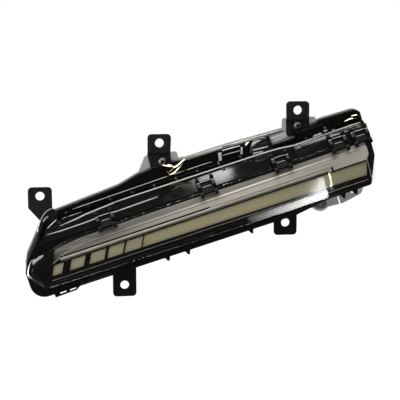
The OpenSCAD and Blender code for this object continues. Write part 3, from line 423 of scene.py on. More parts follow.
finishes["light_guide"] = guide_rod()
print("light guide ready")

# %% [markdown]
# The reflector band has two sides that meet in a fold. Along the fold lies a painted highlight with a line of
# painted shade below it, the lower side is painted paler than the upper one as the light falls on them, and
# both are painted darker at the inner end as shade. The fold climbs a little along the lamp. A group gives
# its masks, so the same lines could be drawn on another strip.

# %% Group: fold lines of the band
def make_fold():
    group, given, out = start_group("Fold lines",
                                    [("Along", 0.0), ("Up", 0.0), ("Start", 19.9), ("Climb", 0.0105)],
                                    [("Lower side", "Float"), ("Painted shade line", "Float"),
                                     ("Painted highlight line", "Float")])
    climbed = maths(group, "MULTIPLY", given.outputs["Along"], given.outputs["Climb"])
    line = maths(group, "ADD", given.outputs["Start"], climbed)
    over = maths(group, "SUBTRACT", given.outputs["Up"], line)
    lower = add(group, "MapRange", {"Value": over, "From Min": -0.6, "From Max": -1.2})
    # painted shade along a line just below the fold
    dark = add(group, "MapRange", {"Value": maths(group, "ABSOLUTE", maths(group, "ADD", over, 1.1)),
                                   "From Min": 0.9, "From Max": 0.1})
    # painted highlight along the fold
    bright = add(group, "MapRange", {"Value": maths(group, "ABSOLUTE", maths(group, "SUBTRACT", over, 0.3)),
                                     "From Min": 1.0, "From Max": 0.3})
    group.links.new(lower.outputs["Result"], out.inputs["Lower side"])
    group.links.new(dark.outputs["Result"], out.inputs["Painted shade line"])
    group.links.new(bright.outputs["Result"], out.inputs["Painted highlight line"])
    return group


FOLD = make_fold()
print("group:", FOLD.name)

# %% [markdown]
# Fine lines run along the band and the diffuser, as a drawing tool leaves them. They are a noise stretched a
# long way along the lamp, and they shift the colour, the gloss and the bump together.

# %% Drawn lines
def drawn_lines(tree, lines):
    """A noise stretched along the lamp, as a value around 0.5."""
    spot = add(tree, "TexCoord")
    lying = add(tree, "Mapping", {"Vector": spot.outputs["Object"], "Rotation": (0, SLOPE, 0)})
    fine = add(tree, "Mapping", {"Vector": lying.outputs[0], "Scale": (4, 60, lines)})
    noise = add(tree, "TexNoise", {"Vector": fine.outputs[0], "Scale": 1.0, "Detail": 4.0, "Roughness": 0.6})
    return noise.outputs["Fac"]


def drawn(tree, shader, colour, noise, contrast, gloss, depth):
    """Gives a shader its colour, gloss and bump, all broken up by drawn lines."""
    shade = blend(tree, noise, (1 - contrast,) * 3 + (1,), (1 + contrast,) * 3 + (1,))
    tree.links.new(blend(tree, 1.0, colour, shade, "MULTIPLY"), shader.inputs["Base Color"])
    rough = maths(tree, "ADD", maths(tree, "MULTIPLY", noise, gloss * GLOSS_SWING), gloss * GLOSS_START)
    tree.links.new(rough, shader.inputs["Roughness"])
    bump = add(tree, "Bump", {"Height": noise, "Distance": depth})
    tree.links.new(bump.outputs["Normal"], shader.inputs["Normal"])


print("tools for drawn lines:", drawn_lines.__name__, "and", drawn.__name__)

# %% [markdown]
# The band's tones are painted light: levels of one warm grey, listed as (how far along the strip, level),
# which stand for the light each side reflects. The upper side stays dark until close to the outer end, the
# lower side is brightest past the middle of the strip, and the painted highlight of the fold is strongest a
# little further out.
# At the inner end the band bends down: a painted highlight follows the bend, and painted shade fills the tip.

# %% Finish of the reflector band
BAND_TINT = (1, 0.925, 0.82)
# Painted light of the two sides, and the strength of the fold's painted highlight and shade, along the strip.
UPPER_PAINTED_LIGHT = [(0.0, 0.07), (0.18, 0.085), (0.28, 0.08), (0.43, 0.14), (0.62, 0.15), (0.8, 0.12),
                (0.9, 0.18), (0.96, 0.3), (1.0, 0.42)]
LOWER_PAINTED_LIGHT = [(0.0, 0.12), (0.12, 0.26), (0.25, 0.41), (0.43, 0.68), (0.62, 0.76), (0.75, 0.68),
                (0.88, 0.54), (1.0, 0.6)]
FOLD_HIGHLIGHT_LEVELS = [(0.0, 0.1), (0.18, 0.25), (0.42, 0.4), (0.6, 0.9), (0.75, 1.0), (0.88, 0.4), (1.0, 0.3)]
FOLD_SHADE_LEVELS = [(0.0, 0.2), (0.42, 0.4), (0.6, 0.7), (1.0, 0.6)]
BEND_LEN, BEND_LOW, BEND_RISE = 40, 10.0, 12.0
BEND_CURVE = [(0.0, 0.0), (0.225, 0.26), (0.3, 0.42), (0.39, 0.535), (0.5, 0.66), (0.61, 0.74), (0.74, 0.80),
              (0.87, 0.825), (1.0, 0.835)]
SECOND_FOLD = {"Start": 25.4, "Climb": 0.0125}


def tinted(levels):
    """The same stops as colours of the band's warm grey."""
    return [(place, tuple(level * part for part in BAND_TINT)) for place, level in levels]


def inner_end(tree, along, up, base):
    """Adds a painted highlight along the bend and painted shade at the tip."""
    bend = maths(tree, "MULTIPLY", ramp(tree, along, 0, BEND_LEN, BEND_CURVE), BEND_RISE)
    over = maths(tree, "SUBTRACT", up, maths(tree, "ADD", bend, BEND_LOW))
    fade = add(tree, "MapRange", {"Value": along, "From Min": 46.0, "From Max": 36.0})
    curve = add(tree, "MapRange", {"Value": maths(tree, "ABSOLUTE", over), "From Min": 0.75, "From Max": 0.2})
    slanted = maths(tree, "SUBTRACT", maths(tree, "ADD", along, maths(tree, "MULTIPLY", over, 0.5)), 4.0)
    tip_shade = add(tree, "MapRange", {"Value": slanted, "From Min": 12.0, "From Max": 3.0})
    # painted shade: the tip is blended towards near black
    base = blend(tree, maths(tree, "MULTIPLY", tip_shade.outputs["Result"], 0.95), base, (0.008, 0.007, 0.006, 1))
    # painted highlight along the bend
    line = maths(tree, "MULTIPLY", curve.outputs["Result"], fade.outputs["Result"])
    return blend(tree, maths(tree, "MULTIPLY", line, 0.6), base, (0.75, 0.7, 0.6, 1))


def folded_band():
    """The band: two sides in painted light, a fold with its painted highlight and shade, a faint painted
    highlight on a second fold, and the inner end.
    """
    material, tree, shader = fresh_material("reflector_grey")
    places = place_group(tree, PLACES)
    along, up = places.outputs["Along"], places.outputs["Up"]
    fold = place_group(tree, FOLD)
    second = place_group(tree, FOLD, SECOND_FOLD)
    for lines in (fold, second):
        tree.links.new(along, lines.inputs["Along"])
        tree.links.new(up, lines.inputs["Up"])
    # the levels of both sides are painted light
    upper, lower, shine, depth = [ramp(tree, along, 0, STRIP_LEN, stops) for stops in
                                  (tinted(UPPER_PAINTED_LIGHT), tinted(LOWER_PAINTED_LIGHT), FOLD_HIGHLIGHT_LEVELS, FOLD_SHADE_LEVELS)]
    base = blend(tree, fold.outputs["Lower side"], upper, lower)
    # painted shade just below the fold
    dark = maths(tree, "MULTIPLY", fold.outputs["Painted shade line"], depth)
    base = blend(tree, dark, base, (0.1, 0.09, 0.08, 1))
    # painted highlight on the fold, and a fainter one on the second fold
    bright = maths(tree, "MULTIPLY", fold.outputs["Painted highlight line"], shine)
    base = blend(tree, bright, base, (1.0, 0.96, 0.88, 1))
    second_highlight = maths(tree, "MULTIPLY", maths(tree, "MULTIPLY", second.outputs["Painted highlight line"], shine), 0.35)
    base = blend(tree, second_highlight, base, (0.8, 0.77, 0.7, 1))
    base = inner_end(tree, along, up, base)
    drawn(tree, shader, base, drawn_lines(tree, 900), 0.14, 0.4, 0.00005)
    return material


finishes["reflector_grey"] = folded_band()
print("band levels:", len(UPPER_PAINTED_LIGHT), "above the fold,", len(LOWER_PAINTED_LIGHT), "below it")

# %% [markdown]
# The diffuser is a khaki bar behind the windows. It gets duller towards the outer end, so its colour is a
# ramp along the strip, under coarser drawn lines than the band's.

# %% Finish of the diffuser
KHAKI_TONES = [(0.0, (0.60, 0.55, 0.39)), (0.3, (0.60, 0.54, 0.34)), (0.65, (0.60, 0.55, 0.34)),
               (1.0, (0.47, 0.44, 0.29))]
material, tree, shader = fresh_material("diffuser")
places = place_group(tree, PLACES)
khaki = ramp(tree, places.outputs["Along"], 0, STRIP_LEN, KHAKI_TONES)
drawn(tree, shader, khaki, drawn_lines(tree, 260), 0.05, 0.45, 0.00002)
finishes["diffuser"] = material
print("diffuser ready")

# %% [markdown]
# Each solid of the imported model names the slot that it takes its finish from, so one short loop dresses
# them all.

# %% Dress the solids
dressed = 0
for part in frame["record"]["subparts"]:
    solid = frame["nodes"][part["node"]]
    for slot in solid.material_slots:
        slot.material = finishes[part["material_slot"]]
        dressed += 1
print("slots dressed:", dressed)

# %% [markdown]
# The finest trim is too small for the solids and is added here, drawn in millimetres on the lamp. A bead on
# the black moulding takes a finish of its own, because the soft edges of the large moulding would round off
# the bead's flat face.

# %% Places on the ledge and new pieces
LEDGE_RISE, LEDGE_DEEP = 10, 28
LEDGE_EDGE_W, LEDGE_EDGE_V = 12, 33.2


def on_ledge(u, w):
    """A place on the ledge, which climbs from its front edge towards the back."""
    return (u, w, LEDGE_EDGE_V + LEDGE_RISE / LEDGE_DEEP * (w - LEDGE_EDGE_W))


def at_depth(w, places):
    """A path or outline at one depth, from its places in u and v."""
    return [(u, w, v) for u, v in places]


def trim(name, slot, points, faces):
    """Adds a piece from places on the lamp in millimetres, and lets it ride on the lamp."""
    mesh = bpy.data.meshes.new(name)
    mesh.from_pydata([tuple(at(*p)) for p in points], [], faces)
    mesh.materials.append(finishes["bead_black" if slot == "black_gloss" else slot])
    piece = bpy.data.objects.new(name, mesh)
    bpy.context.scene.collection.objects.link(piece)
    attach(piece, "root")
    return piece


print("slope of the ledge:", round(math.degrees(math.atan2(LEDGE_RISE, LEDGE_DEEP)), 1), "degrees")

# %% [markdown]
# A bead is the thin raised line along a moulded edge. A curve with a round bevel would be less work, but a
# round line mirrors only a hair of a card. So a section with one flat, sloping face is swept along the path,
# and that face mirrors the card. The section is given as how deep and how high each of its corners lies.

# %% Beads
BEAD = [(1.2, -0.4), (1.2, 0.9), (0.6, 1.2), (0.15, 1.05), (-0.75, 0.15), (-0.9, -0.4)]
BLUNT = 0.8


def stations(path):
    """For each place of a path: the place, the way to the viewer, and the side to the path's left."""
    out = []
    for i, spot in enumerate(path):
        before, after = Vector(path[max(0, i - 1)]), Vector(path[min(len(path) - 1, i + 1)])
        way = (after - before).normalized()
        front = Vector((0, -1, 0))
        front = (front - front.dot(way) * way).normalized()
        out.append((Vector(spot), front, front.cross(way)))
    return out


def sweep(path, scale, taper):
    """Points and faces of a bead along a path. The section shrinks to taper at both ends."""
    points, faces, n = [], [], len(BEAD)
    for i, (spot, front, side) in enumerate(stations(path)):
        size = scale * (taper if i in (0, len(path) - 1) else 1.0)
        points += [tuple(spot - front * deep * size + side * high * size) for deep, high in BEAD]
    for i in range(len(path) - 1):
        for k in range(n):
            a, b = i * n + k, i * n + (k + 1) % n
            faces.append((a, b, b + n, a + n))
    last = (len(path) - 1) * n
    faces += [tuple(reversed(range(n))), tuple(range(last, last + n))]
    return points, faces


def beads(name, slot, paths, scale=1.0, taper=0.35):
    """One piece made of several beads."""
    points, faces = [], []
    for path in paths:
        some, more = sweep(path, scale, taper)
        faces += [tuple(k + len(points) for k in face) for face in more]
        points += some
    return trim(name, slot, points, faces)


def steps(path, step=8.0):
    """A path with more places on it, so that it bends softly and its ends taper over a short way."""
    out = []
    for a, b in zip(path, path[1:]):
        parts = max(1, int(abs(b[0] - a[0]) / step))
        out += [tuple(a[k] + (b[k] - a[k]) * i / parts for k in range(3)) for i in range(parts)]
    return out + [tuple(path[-1])]


def long_is(path):
    """The length of a path in whole millimetres."""
    return round(sum((Vector(b) - Vector(a)).length for a, b in zip(path, path[1:])))


print("bead section:", len(BEAD), "corners")

# %% [markdown]
# A plate is a small flat piece with a chamfered front, for a mark that has an outline. Its front keeps most
# of the outline, the chamfer takes up part of its thickness, and its back reaches a little further in than
# the depth given, so that it sits in the wall behind it.

# %% Plates
FRONT_SHARE = 0.86
CHAMFER_AT = 0.6
SUNK = 0.4


def plate(name, slot, outline, w, thick):
    """A small plate from its outline in u and v."""
    n = len(outline)
    mid_u, mid_v = [sum(values) / n for values in zip(*outline)]
    near = [(mid_u + (u - mid_u) * FRONT_SHARE, mid_v + (v - mid_v) * FRONT_SHARE) for u, v in outline]
    points = at_depth(w - thick, near) + at_depth(w - thick * CHAMFER_AT, outline)
    points += at_depth(w + SUNK, outline)
    faces = [tuple(range(n)), tuple(range(3 * n - 1, 2 * n - 1, -1))]
    for ring in (0, n):
        for i in range(n):
            j = (i + 1) % n
            faces.append((ring + i, ring + n + i, ring + n + j, ring + j))
    return trim(name, slot, points, faces)


print("plate front keeps", FRONT_SHARE, "of its outline")

# %% [markdown]
# The rim of the ledge carries the main bead. It leaves the rim near the inner end and runs down over the
# ledge. A second bead borders the flat panel, and two ridges run along the outer part of the ledge.

# %% Beads on the ledge
rim_path = steps([on_ledge(21.7, 30.6), on_ledge(37.4, 32.4), on_ledge(48.2, 35.3), on_ledge(64, 37.4),
                  on_ledge(80, 39.4), (96, 40.2, 43.2), (236, 40.2, 43.2), (254, 38.8, 42.8),
                  on_ledge(268.8, 35.4), on_ledge(305, 36.4), on_ledge(341, 38.3)])
panel_path = steps([on_ledge(7, 22.6), on_ledge(20.4, 21.1), on_ledge(46, 21.5), on_ledge(61.7, 23),
                    on_ledge(92.7, 23.4), on_ledge(122, 24.6)])
ridge_paths = [steps([on_ledge(267.8, 31.9), on_ledge(304, 32.9), on_ledge(340, 34.9)]),
               steps([on_ledge(267.3, 28.9), on_ledge(303, 30.0), on_ledge(339, 31.0)])]
beads("rim_bead", "black_gloss", [rim_path])
beads("panel_bead", "black_gloss", [panel_path], 0.8)
beads("ridge_beads", "black_gloss", ridge_paths, 0.7)
print("rim bead:", long_is(rim_path), "mm, panel bead:", long_is(panel_path), "mm")

# %% [markdown]
# Around the lens runs the rim of the frame. Its bead follows the lower lip towards the nose, turns at the tip
# and ends above it. Its sloping face looks away from the lens, so nothing stands in the way of its light.

# %% Beads around the lens
FACE_W = 11.8
lip_path = steps(at_depth(FACE_W, [(252, -14.8), (150, -14.0), (54, -13.4), (8.1, -12.8), (-2.7, -12.6)]))
nose_path = steps(at_depth(FACE_W, [(-2.7, -12.6), (-9.7, -10.5), (-16.3, -2.0), (-19.6, 2.3), (-21.8, 6.8),
                                    (-20.2, 11), (-17.9, 14.9), (-13.5, 20.2)]), 2)
beads("nose_bead", "black_gloss", [nose_path], 0.9)
beads("lip_bead", "black_gloss", [lip_path], 0.6)
print("lip bead:", long_is(lip_path), "mm, nose bead:", long_is(nose_path), "mm")

# %% [markdown]
# Inside the lens a thin pale line, a painted highlight, runs below the windows, and a short upright one, also
# a painted highlight, closes them at the outer end. A hem in the finish of the reflector band covers the
# narrow dark gap between the band and the rod.

# %% Lines inside the lens
window_paths = [steps(at_depth(4.75, [(-1, -4.2), (97, -4.3), (200, -4.4), (278, -4.5)])),
                steps(at_depth(6.2, [(282, -8.6), (325.5, -8.6)]))]
# pale grey lines painted as highlights below the windows
beads("window_highlight_line", "grey_plastic", window_paths, 0.22, BLUNT)
window_end_highlight = [(328.6, -7.6), (329.1, -7.6), (329.6, 11.4), (329.1, 11.4)]
# a pale upright line painted as a highlight at the outer end
plate("window_end_highlight", "grey_plastic", window_end_highlight, 4.65, 0.3)
plate("band_hem", "reflector_grey", [(166, 15.1), (166, 16.5), (300, 16.5), (300, 15.1)], 5.75, 0.4)
print("window lines:", [long_is(path) for path in window_paths], "mm")

# %% [markdown]
# Two painted reflections lie on the frame beside the lens: a pale patch along the upper edge of the nose and
# a strip below the lip near the inner end. Here plates stand in for these reflections, because a plate keeps
# its outline from every side.

# %% Light marks beside the lens
# pale grey plate: a painted reflection along the nose
plate("nose_reflection_plate", "grey_plastic",
      [(-14.3, 17.4), (-12.9, 20.2), (-9.1, 19.8), (-6.0, 21.4), (-2.0, 21.6), (-1.9, 20.2), (-8.3, 17.9),
       (-13.9, 14.9)], 11.9, 0.4)
# zinc plate: a painted reflection below the lip
plate("skirt_reflection_plate", "zinc_screw",
      [(23.4, -15.2), (39.9, -15.1), (57.5, -14.6), (56.5, -17.8), (39.8, -18.4), (23.4, -18.5)], 12, 0.6)
print("light marks beside the lens: 2")

# %% [markdown]
# The upright wall behind the trough carries a faint line, two posts whose pale faces are painted highlights,
# and a pocket between the posts whose light border is a painted highlight. Further out lie three small pale
# slivers, each at a depth of its own, which are painted glints.

# %% Trim on the upright wall
wall_paths = [steps(at_depth(49.6, [(38, 48.2), (66, 48.6), (130, 49.6), (186, 49.8)])),
              steps(at_depth(49.4, [(24.9, 42.4), (46, 42.8)]))]
beads("wall_bead", "black_gloss", wall_paths, 0.5)
posts = [[(192.6, 48.8), (195.6, 48.4), (197.3, 56.4), (194.0, 56.8)],
         [(215.8, 48.2), (217.6, 48.0), (219.8, 55.0), (217.8, 55.2)]]
POST_W, POCKET_W = 46.5, 47.5
# pale faces on the posts: painted highlights
for number, outline in enumerate(posts, 1):
    plate("wall_post_highlight_%d" % number, "white_plastic", outline, POST_W, 0.6)
pocket_top = at_depth(POCKET_W, [(199, 57.6), (209, 57.2), (217.5, 56.6)])
pocket_floor = at_depth(POCKET_W, [(198, 52.6), (207, 52.3), (216.4, 51.9)])
# the pocket's light border: a painted highlight
beads("pocket_highlight", "grey_plastic", [pocket_top], 0.6, BLUNT)
beads("pocket_edge", "black_gloss", [pocket_floor], 0.5, BLUNT)
slivers = {"wall_glint_plate": (38.9, [(288.9, 42.0), (291.6, 44.8), (300.2, 44.7), (298.7, 41.4)]),
           "wall_glint_1": (44.4, [(302.8, 44.6), (305.2, 45.4), (308.2, 44.5), (306.6, 42.6)]),
           "wall_glint_2": (46, [(311.2, 41.9), (313.6, 43.0), (316.5, 42.2), (314.6, 40.7)])}
# pale slivers: painted glints
for name, (w, outline) in slivers.items():
    plate(name, "grey_plastic", outline, w, 0.5)
print("posts:", len(posts), "slivers:", len(slivers))

# %% [markdown]
# Along the top of the wall the rail shows a light edge, a painted highlight, with a dark groove below it
# whose dark line is painted shade, and a pale plate beyond the service cap is a painted reflection.

# %% Rail and plate at the top of the wall
panel_outline = [(251.5, 52.2), (267.6, 53.2), (271.9, 47.9), (252.4, 46.0)]
# pale plate: a painted reflection beyond the cap
plate("panel_reflection_plate", "white_plastic", panel_outline, 59.3, 0.5)
groove_path = at_depth(59.4, [(201.3, 59.0), (231.0, 57.4), (267.0, 55.2)])
rail_path = at_depth(60, [(160, 60.2), (215, 58.7), (274, 56.6)])
# dark groove line: painted shade; light rail edge: painted highlight
beads("rail_groove_shade", "gasket", [groove_path], 0.6, BLUNT)
beads("rail_highlight", "white_plastic", [rail_path], 0.8)
print("light edge of the rail:", long_is(rail_path), "mm")

# %% [markdown]
# At the inner end the wall ends in a rounded cheek. Its face is matt, so it is a plate in the finish of the
# covers. A bead runs over its edge, another joins it to the ledge, and one pale stroke, a painted highlight,
# lies in front of it.

# %% Cheek at the inner end
cheek_path = at_depth(44.6, [(-1.6, 38.6), (-0.3, 41.2), (5.9, 49.6), (9, 52.6), (12.5, 55.0), (16, 56.0),
                             (20.1, 56.2)])
plate("cheek_plate", "cover_black",
      [(22.7, 50.1), (20.1, 56.1), (12.5, 55.2), (5.9, 49.5), (-0.3, 40.9), (-1.6, 38.1), (4.1, 35.0),
       (7.8, 38.1), (20.0, 43.6)], 46, 1.0)
beads("cheek_bead", "black_gloss", [cheek_path], 0.6, BLUNT)
beads("cheek_joint", "black_gloss", [[(-1.2, 39.5, 39.2), (2, 33.5, 40.4), (5.3, 27.7, 39.4)]], 0.6, BLUNT)
# pale stroke: a painted highlight in front of the cheek
beads("stroke_highlight", "white_plastic", [at_depth(31, [(9.2, 41.4), (14.6, 44.0), (20.3, 46.8)])], 0.5, BLUNT)
print("edge of the cheek:", long_is(cheek_path), "mm")

# %% [markdown]
# A small spring of tinned wire lies in the trough. It crosses itself, so it is three beads in one piece. Four
# more metal slivers lie near the cap and at the outer end.

# %% Wire spring and metal slivers
curl = [[(137.2, 48, 62.4), (142.3, 47, 59.7), (146.1, 46.4, 56.9), (150.7, 46.4, 57.0), (158.1, 47, 60.4),
         (160.8, 48, 61.2)],
        [(139.4, 48, 55.3), (141.1, 46.6, 50.9), (145.9, 46, 51.5), (151.5, 46.4, 54.4), (157.7, 47, 58.8)],
        [(142.1, 48, 61.4), (145.5, 46.6, 59.0), (147.3, 46, 56.2), (143.3, 46.6, 55.0), (141.4, 48, 53.4)]]
metal_paths = [[(222.8, 47, 56.2), (225.4, 46.6, 57.0), (227.6, 47, 57.4)],
               [(223.4, 47, 54.8), (225.0, 46.6, 55.4), (226.4, 47, 56.6)],
               [(328.4, 49, 46.6), (335.1, 48.6, 47.2), (341.3, 49, 45.7)],
               [(336, 49, 49.6), (341.6, 48.6, 49.0), (345, 49, 46.9)]]
beads("wire_spring", "tinned_pin", curl, 0.8, 0.5)
beads("metal_slivers", "tinned_pin", metal_paths, 0.7, 0.4)
print("wire in the spring:", sum(long_is(path) for path in curl), "mm")

# %% [markdown]
# Each clip over the upper edge of the lens gets a fine bead on its bar and one on the front of each of its
# two cheeks. Two pale lines are painted highlights: one lies on the bar, the other lower down between the
# cheeks. The clips' places are measured on the solids, so the lines stay on them.

# %% Beads on the clips
def across(middle_u, half, w, v):
    """A short straight path along the lamp, the same way to both sides of its middle."""
    return [(middle_u - half, w, v), (middle_u + half, w, v)]


clip_middles, clip_paths, clip_highlights = [], [], []
for number in range(1, 6):
    places = [v.co.dot(ALONG) * 1000 for v in frame["nodes"]["lens_clip_%d" % number].data.vertices]
    middle_u = (min(places) + max(places)) / 2 - STRIP_CORNER.dot(ALONG) * 1000
    clip_middles.append(round(middle_u, 1))
    clip_paths.append(across(middle_u, 5.6, 12.5, 40.3))
    clip_paths += [across(middle_u + side * 7.45, 1.25, 10.9, 40.0) for side in (-1, 1)]
    # the pale lines are painted highlights on the bar and lower down between the cheeks
    clip_highlights += [across(middle_u, 5.4, 11.9, 40.4), across(middle_u, 4.2, 10.6, 35.4)]
beads("clip_beads", "black_gloss", clip_paths, 0.75, 0.9)
beads("clip_highlights", "grey_plastic", clip_highlights, 0.32, BLUNT)
print("middles of the clips:", clip_middles)

# %% [markdown]
# The service cap is turned by hand, so it has grip bars. A bead runs round the upper part of its rim and one
# over each bar. Three pale plates are painted highlights on its crown and on two of the bars.

# %% Service cap
CAP_U, CAP_V, CAP_RIM = 237.8, 47.2, 11
CAP_FACE_W = 43.2


def on_cap_rim(angle):
    """A place on the rim of the cap, by its angle in degrees."""
    turn = math.radians(angle)
    return (CAP_U + CAP_RIM * math.cos(turn), 45.9, CAP_V + CAP_RIM * math.sin(turn))


cap_ring = [on_cap_rim(angle) for angle in range(190, -20, -10)]
cap_bars = [at_depth(43.9, [(CAP_U - 6.6, v), (CAP_U, v), (CAP_U + 6.6, v)]) for v in (51.6, 47.8, 44.0)]
beads("cap_beads", "black_gloss", [cap_ring] + cap_bars, 0.55, BLUNT)
crescent = [(228.1, 53.1), (229.6, 56.2), (235.3, 57.2), (239.7, 56.2), (234.5, 55.2), (230.6, 53.6)]
grip_highlights = [[(228.2, 48.4), (228.4, 49.9), (244.2, 48.4), (243.8, 47.2)],
         [(227.6, 44.9), (227.8, 46.4), (238.1, 45.3), (237.7, 44.0)]]
# pale plates: painted highlights on the crown and on two grip bars
plate("cap_crown_highlight", "white_plastic", crescent, CAP_FACE_W, 0.3)
for number, outline in enumerate(grip_highlights, 1):
    plate("cap_grip_highlight_%d" % number, "white_plastic", outline, CAP_FACE_W, 0.4)
print("beads on the cap:", 1 + len(cap_bars))

# %% [markdown]
# Colours read true only in even light. Two large softboxes give it, one above and one in front. No mirror
# sees them, so they leave no patch on the black gloss.

# %% Softboxes
def softbox(name, place, aim, width, height, radiance):
    """An area lamp that faces its aim and that no mirror sees. radiance is how bright its face is."""
    light = bpy.data.lights.new(name, "AREA")
    light.shape = "RECTANGLE"
    light.size, light.size_y = width, height
    light.energy = radiance * math.pi * width * height
    lamp = bpy.data.objects.new(name, light)
    lamp.location = place
    lamp.rotation_mode = "QUATERNION"
    lamp.rotation_quaternion = (aim - place).to_track_quat("-Z", "Y")
    lamp.visible_camera = False
    lamp.visible_glossy = False
    lamp.visible_transmission = False
    bpy.context.scene.collection.objects.link(lamp)
    return lamp


middle = at(STRIP_LEN / 2, 30, 15)
top_box = softbox("top_box", middle + Vector((-0.1, -0.25, 1.2)), middle, 1.4, 1.0, 2.6)
front_box = softbox("front_box", middle + Vector((-0.5, -1.3, 0.75)), middle, 1.0, 0.8, 2.0)
print("softbox watts:", [round(lamp.data.energy, 1) for lamp in (top_box, front_box)])

# %% [markdown]
# A glossy black lamp shows little but what it mirrors. So it stands in a dark room, and its bright patches
# come from cards cut to shape. Room and cards are meshes with plain light of their own. Matt surfaces and
# the camera don't see them, so they light nothing: they are there for mirrors alone.

# %% Dark room
ROOM_LOW, ROOM_HIGH = Vector((-5, -5, -4)), Vector((5, 5, 4))
ROOM_COLOUR, ROOM_GLOW = (1, 0.95, 0.9), 0.06
ROOM_FACES = [(0, 1, 3, 2), (4, 6, 7, 5), (0, 4, 5, 1), (2, 3, 7, 6), (0, 2, 6, 4), (1, 5, 7, 3)]


def only_mirrored(name, corners, faces, colour, strength, behind_glass=False):
    """A glowing mesh that mirrors see, and with behind_glass also the rays that leave through clear parts."""
    mesh = bpy.data.meshes.new(name)
    mesh.from_pydata([tuple(c) for c in corners], [], faces)
    paint = bpy.data.materials.new(name)
    paint.use_nodes = True
    tree = paint.node_tree
    tree.nodes.remove(tree.nodes["Principled BSDF"])
    glow = add(tree, "Emission", {"Color": tuple(colour) + (1,), "Strength": strength})
    tree.links.new(glow.outputs[0], tree.nodes["Material Output"].inputs["Surface"])
    mesh.materials.append(paint)
    piece = bpy.data.objects.new(name, mesh)
    bpy.context.scene.collection.objects.link(piece)
    piece.visible_camera = False
    piece.visible_diffuse = False
    piece.visible_shadow = False
    piece.visible_transmission = behind_glass
    return piece


room_corners = [Vector((x, y, z)) for z in (ROOM_LOW.z, ROOM_HIGH.z) for y in (ROOM_LOW.y, ROOM_HIGH.y)
                for x in (ROOM_LOW.x, ROOM_HIGH.x)]
only_mirrored("dark_room", room_corners, ROOM_FACES, ROOM_COLOUR, ROOM_GLOW, behind_glass=True)
print("dark room:", [round(x, 1) for x in ROOM_HIGH - ROOM_LOW], "m")

# %% [markdown]
# Each corner of a bright patch is a spot on a facet of the lamp, and the corner of its card lies where that
# facet mirrors the camera. So the patches are right for this camera and wander for any other. The lamp has
# three large facets: the ledge, the upright front below it, and the flank that falls away under that.

# %% Facets and what they mirror
FRONT_W = 2
FLANK_TOP = -5
FLANK_FALL, FLANK_DEEP = 21, 10.8


def mirrored(spot, normal):
    """The direction in which a flat facet at a spot mirrors the camera."""
    to_camera = (camera.location - spot).normalized()
    return 2 * normal.dot(to_camera) * normal - to_camera


def on_flank(u, w):
    """A place on the flank, which falls from the front towards the back."""
    return (u, w, FLANK_TOP - FLANK_FALL / FLANK_DEEP * (w - FRONT_W))


ledge_normal = turned(0, -LEDGE_RISE, LEDGE_DEEP)
front_normal = turned(0, -1, 0)
flank_normal = turned(0, -FLANK_FALL, -FLANK_DEEP)
for facet, normal in (("ledge", ledge_normal), ("front", front_normal), ("flank", flank_normal)):
    print(facet, "mirrors the camera towards", [round(x, 2) for x in mirrored(middle, normal)])

# %% [markdown]
# The large patches fade towards one side. A card of one brightness would end in a hard line, so these cards
# are grids whose points carry their own brightness, which the shader reads as an attribute.

# %% Soft cards
PATCH_FAR = 0.9


def glowing_grid(name, rows, colour):
    """A glowing grid. Each row lists (place, radiance); the brightness runs evenly from point to point."""
    width = len(rows[0])
    faces = [(r * width + c, r * width + c + 1, (r + 1) * width + c + 1, (r + 1) * width + c)
             for r in range(len(rows) - 1) for c in range(width - 1)]
    piece = only_mirrored(name, [place for row in rows for place, radiance in row], faces, colour, 1.0)
    level = piece.data.attributes.new("radiance", "FLOAT", "POINT")
    level.data.foreach_set("value", [radiance for row in rows for place, radiance in row])
    tree = piece.data.materials[0].node_tree
    reader = add(tree, "Attribute", attribute_name="radiance")
    glow = next(node for node in tree.nodes if node.type == "EMISSION")
    tree.links.new(reader.outputs["Fac"], glow.inputs["Strength"])


def soft_card(name, rows, normal, colour=(1, 1, 1)):
    """A card that a facet mirrors. Each row lists (spot on the lamp, radiance)."""
    grid = [[(spot + mirrored(spot, normal) * PATCH_FAR, radiance) for spot, radiance in row] for row in rows]
    glowing_grid(name, grid, colour)


def ledge_row(w, pairs):
    """A row of spots on the ledge, from how far along each lies and its radiance."""
    return [(at(*on_ledge(u, w)), radiance) for u, radiance in pairs]


def front_row(v, pairs):
    """The same on the upright front."""
    return [(at(u, FRONT_W, v), radiance) for u, radiance in pairs]


def flank_row(w, pairs):
    """The same on the flank."""
    return [(at(*on_flank(u, w)), radiance) for u, radiance in pairs]


soft_card("ledge_patch", [
    ledge_row(39.5, [(118, 0), (150, 4), (172, 13), (190, 15), (200.5, 14), (202, 0)]),
    ledge_row(32, [(124, 0), (155, 1), (172, 9), (188, 13), (200, 13), (201.5, 0)]),
    ledge_row(22, [(130, 0), (156, 0), (172, 5), (186, 11), (197.5, 11), (199, 0)]),
    ledge_row(15, [(136, 0), (156, 0), (172, 1), (182, 3), (190, 4), (193, 0)]),
    ledge_row(13, [(136, 0), (152, 0), (168, 0), (182, 0), (190, 0), (193, 0)])], ledge_normal)
soft_card("front_patch", [
    front_row(9.5, [(256, 0), (266, 0), (273, 2), (278, 9), (281.3, 10), (282.8, 0)]),
    front_row(4, [(254, 0), (264, 1), (271, 6), (277, 15), (281, 16), (282.6, 0)]),
    front_row(-1, [(250, 0), (262, 2), (269, 10), (275, 18), (280.6, 18), (282.2, 0)]),
    front_row(-6, [(246, 0), (259, 4), (267, 14), (273, 21), (280, 21), (281.8, 0)])],
    front_normal, (0.96, 0.98, 1))
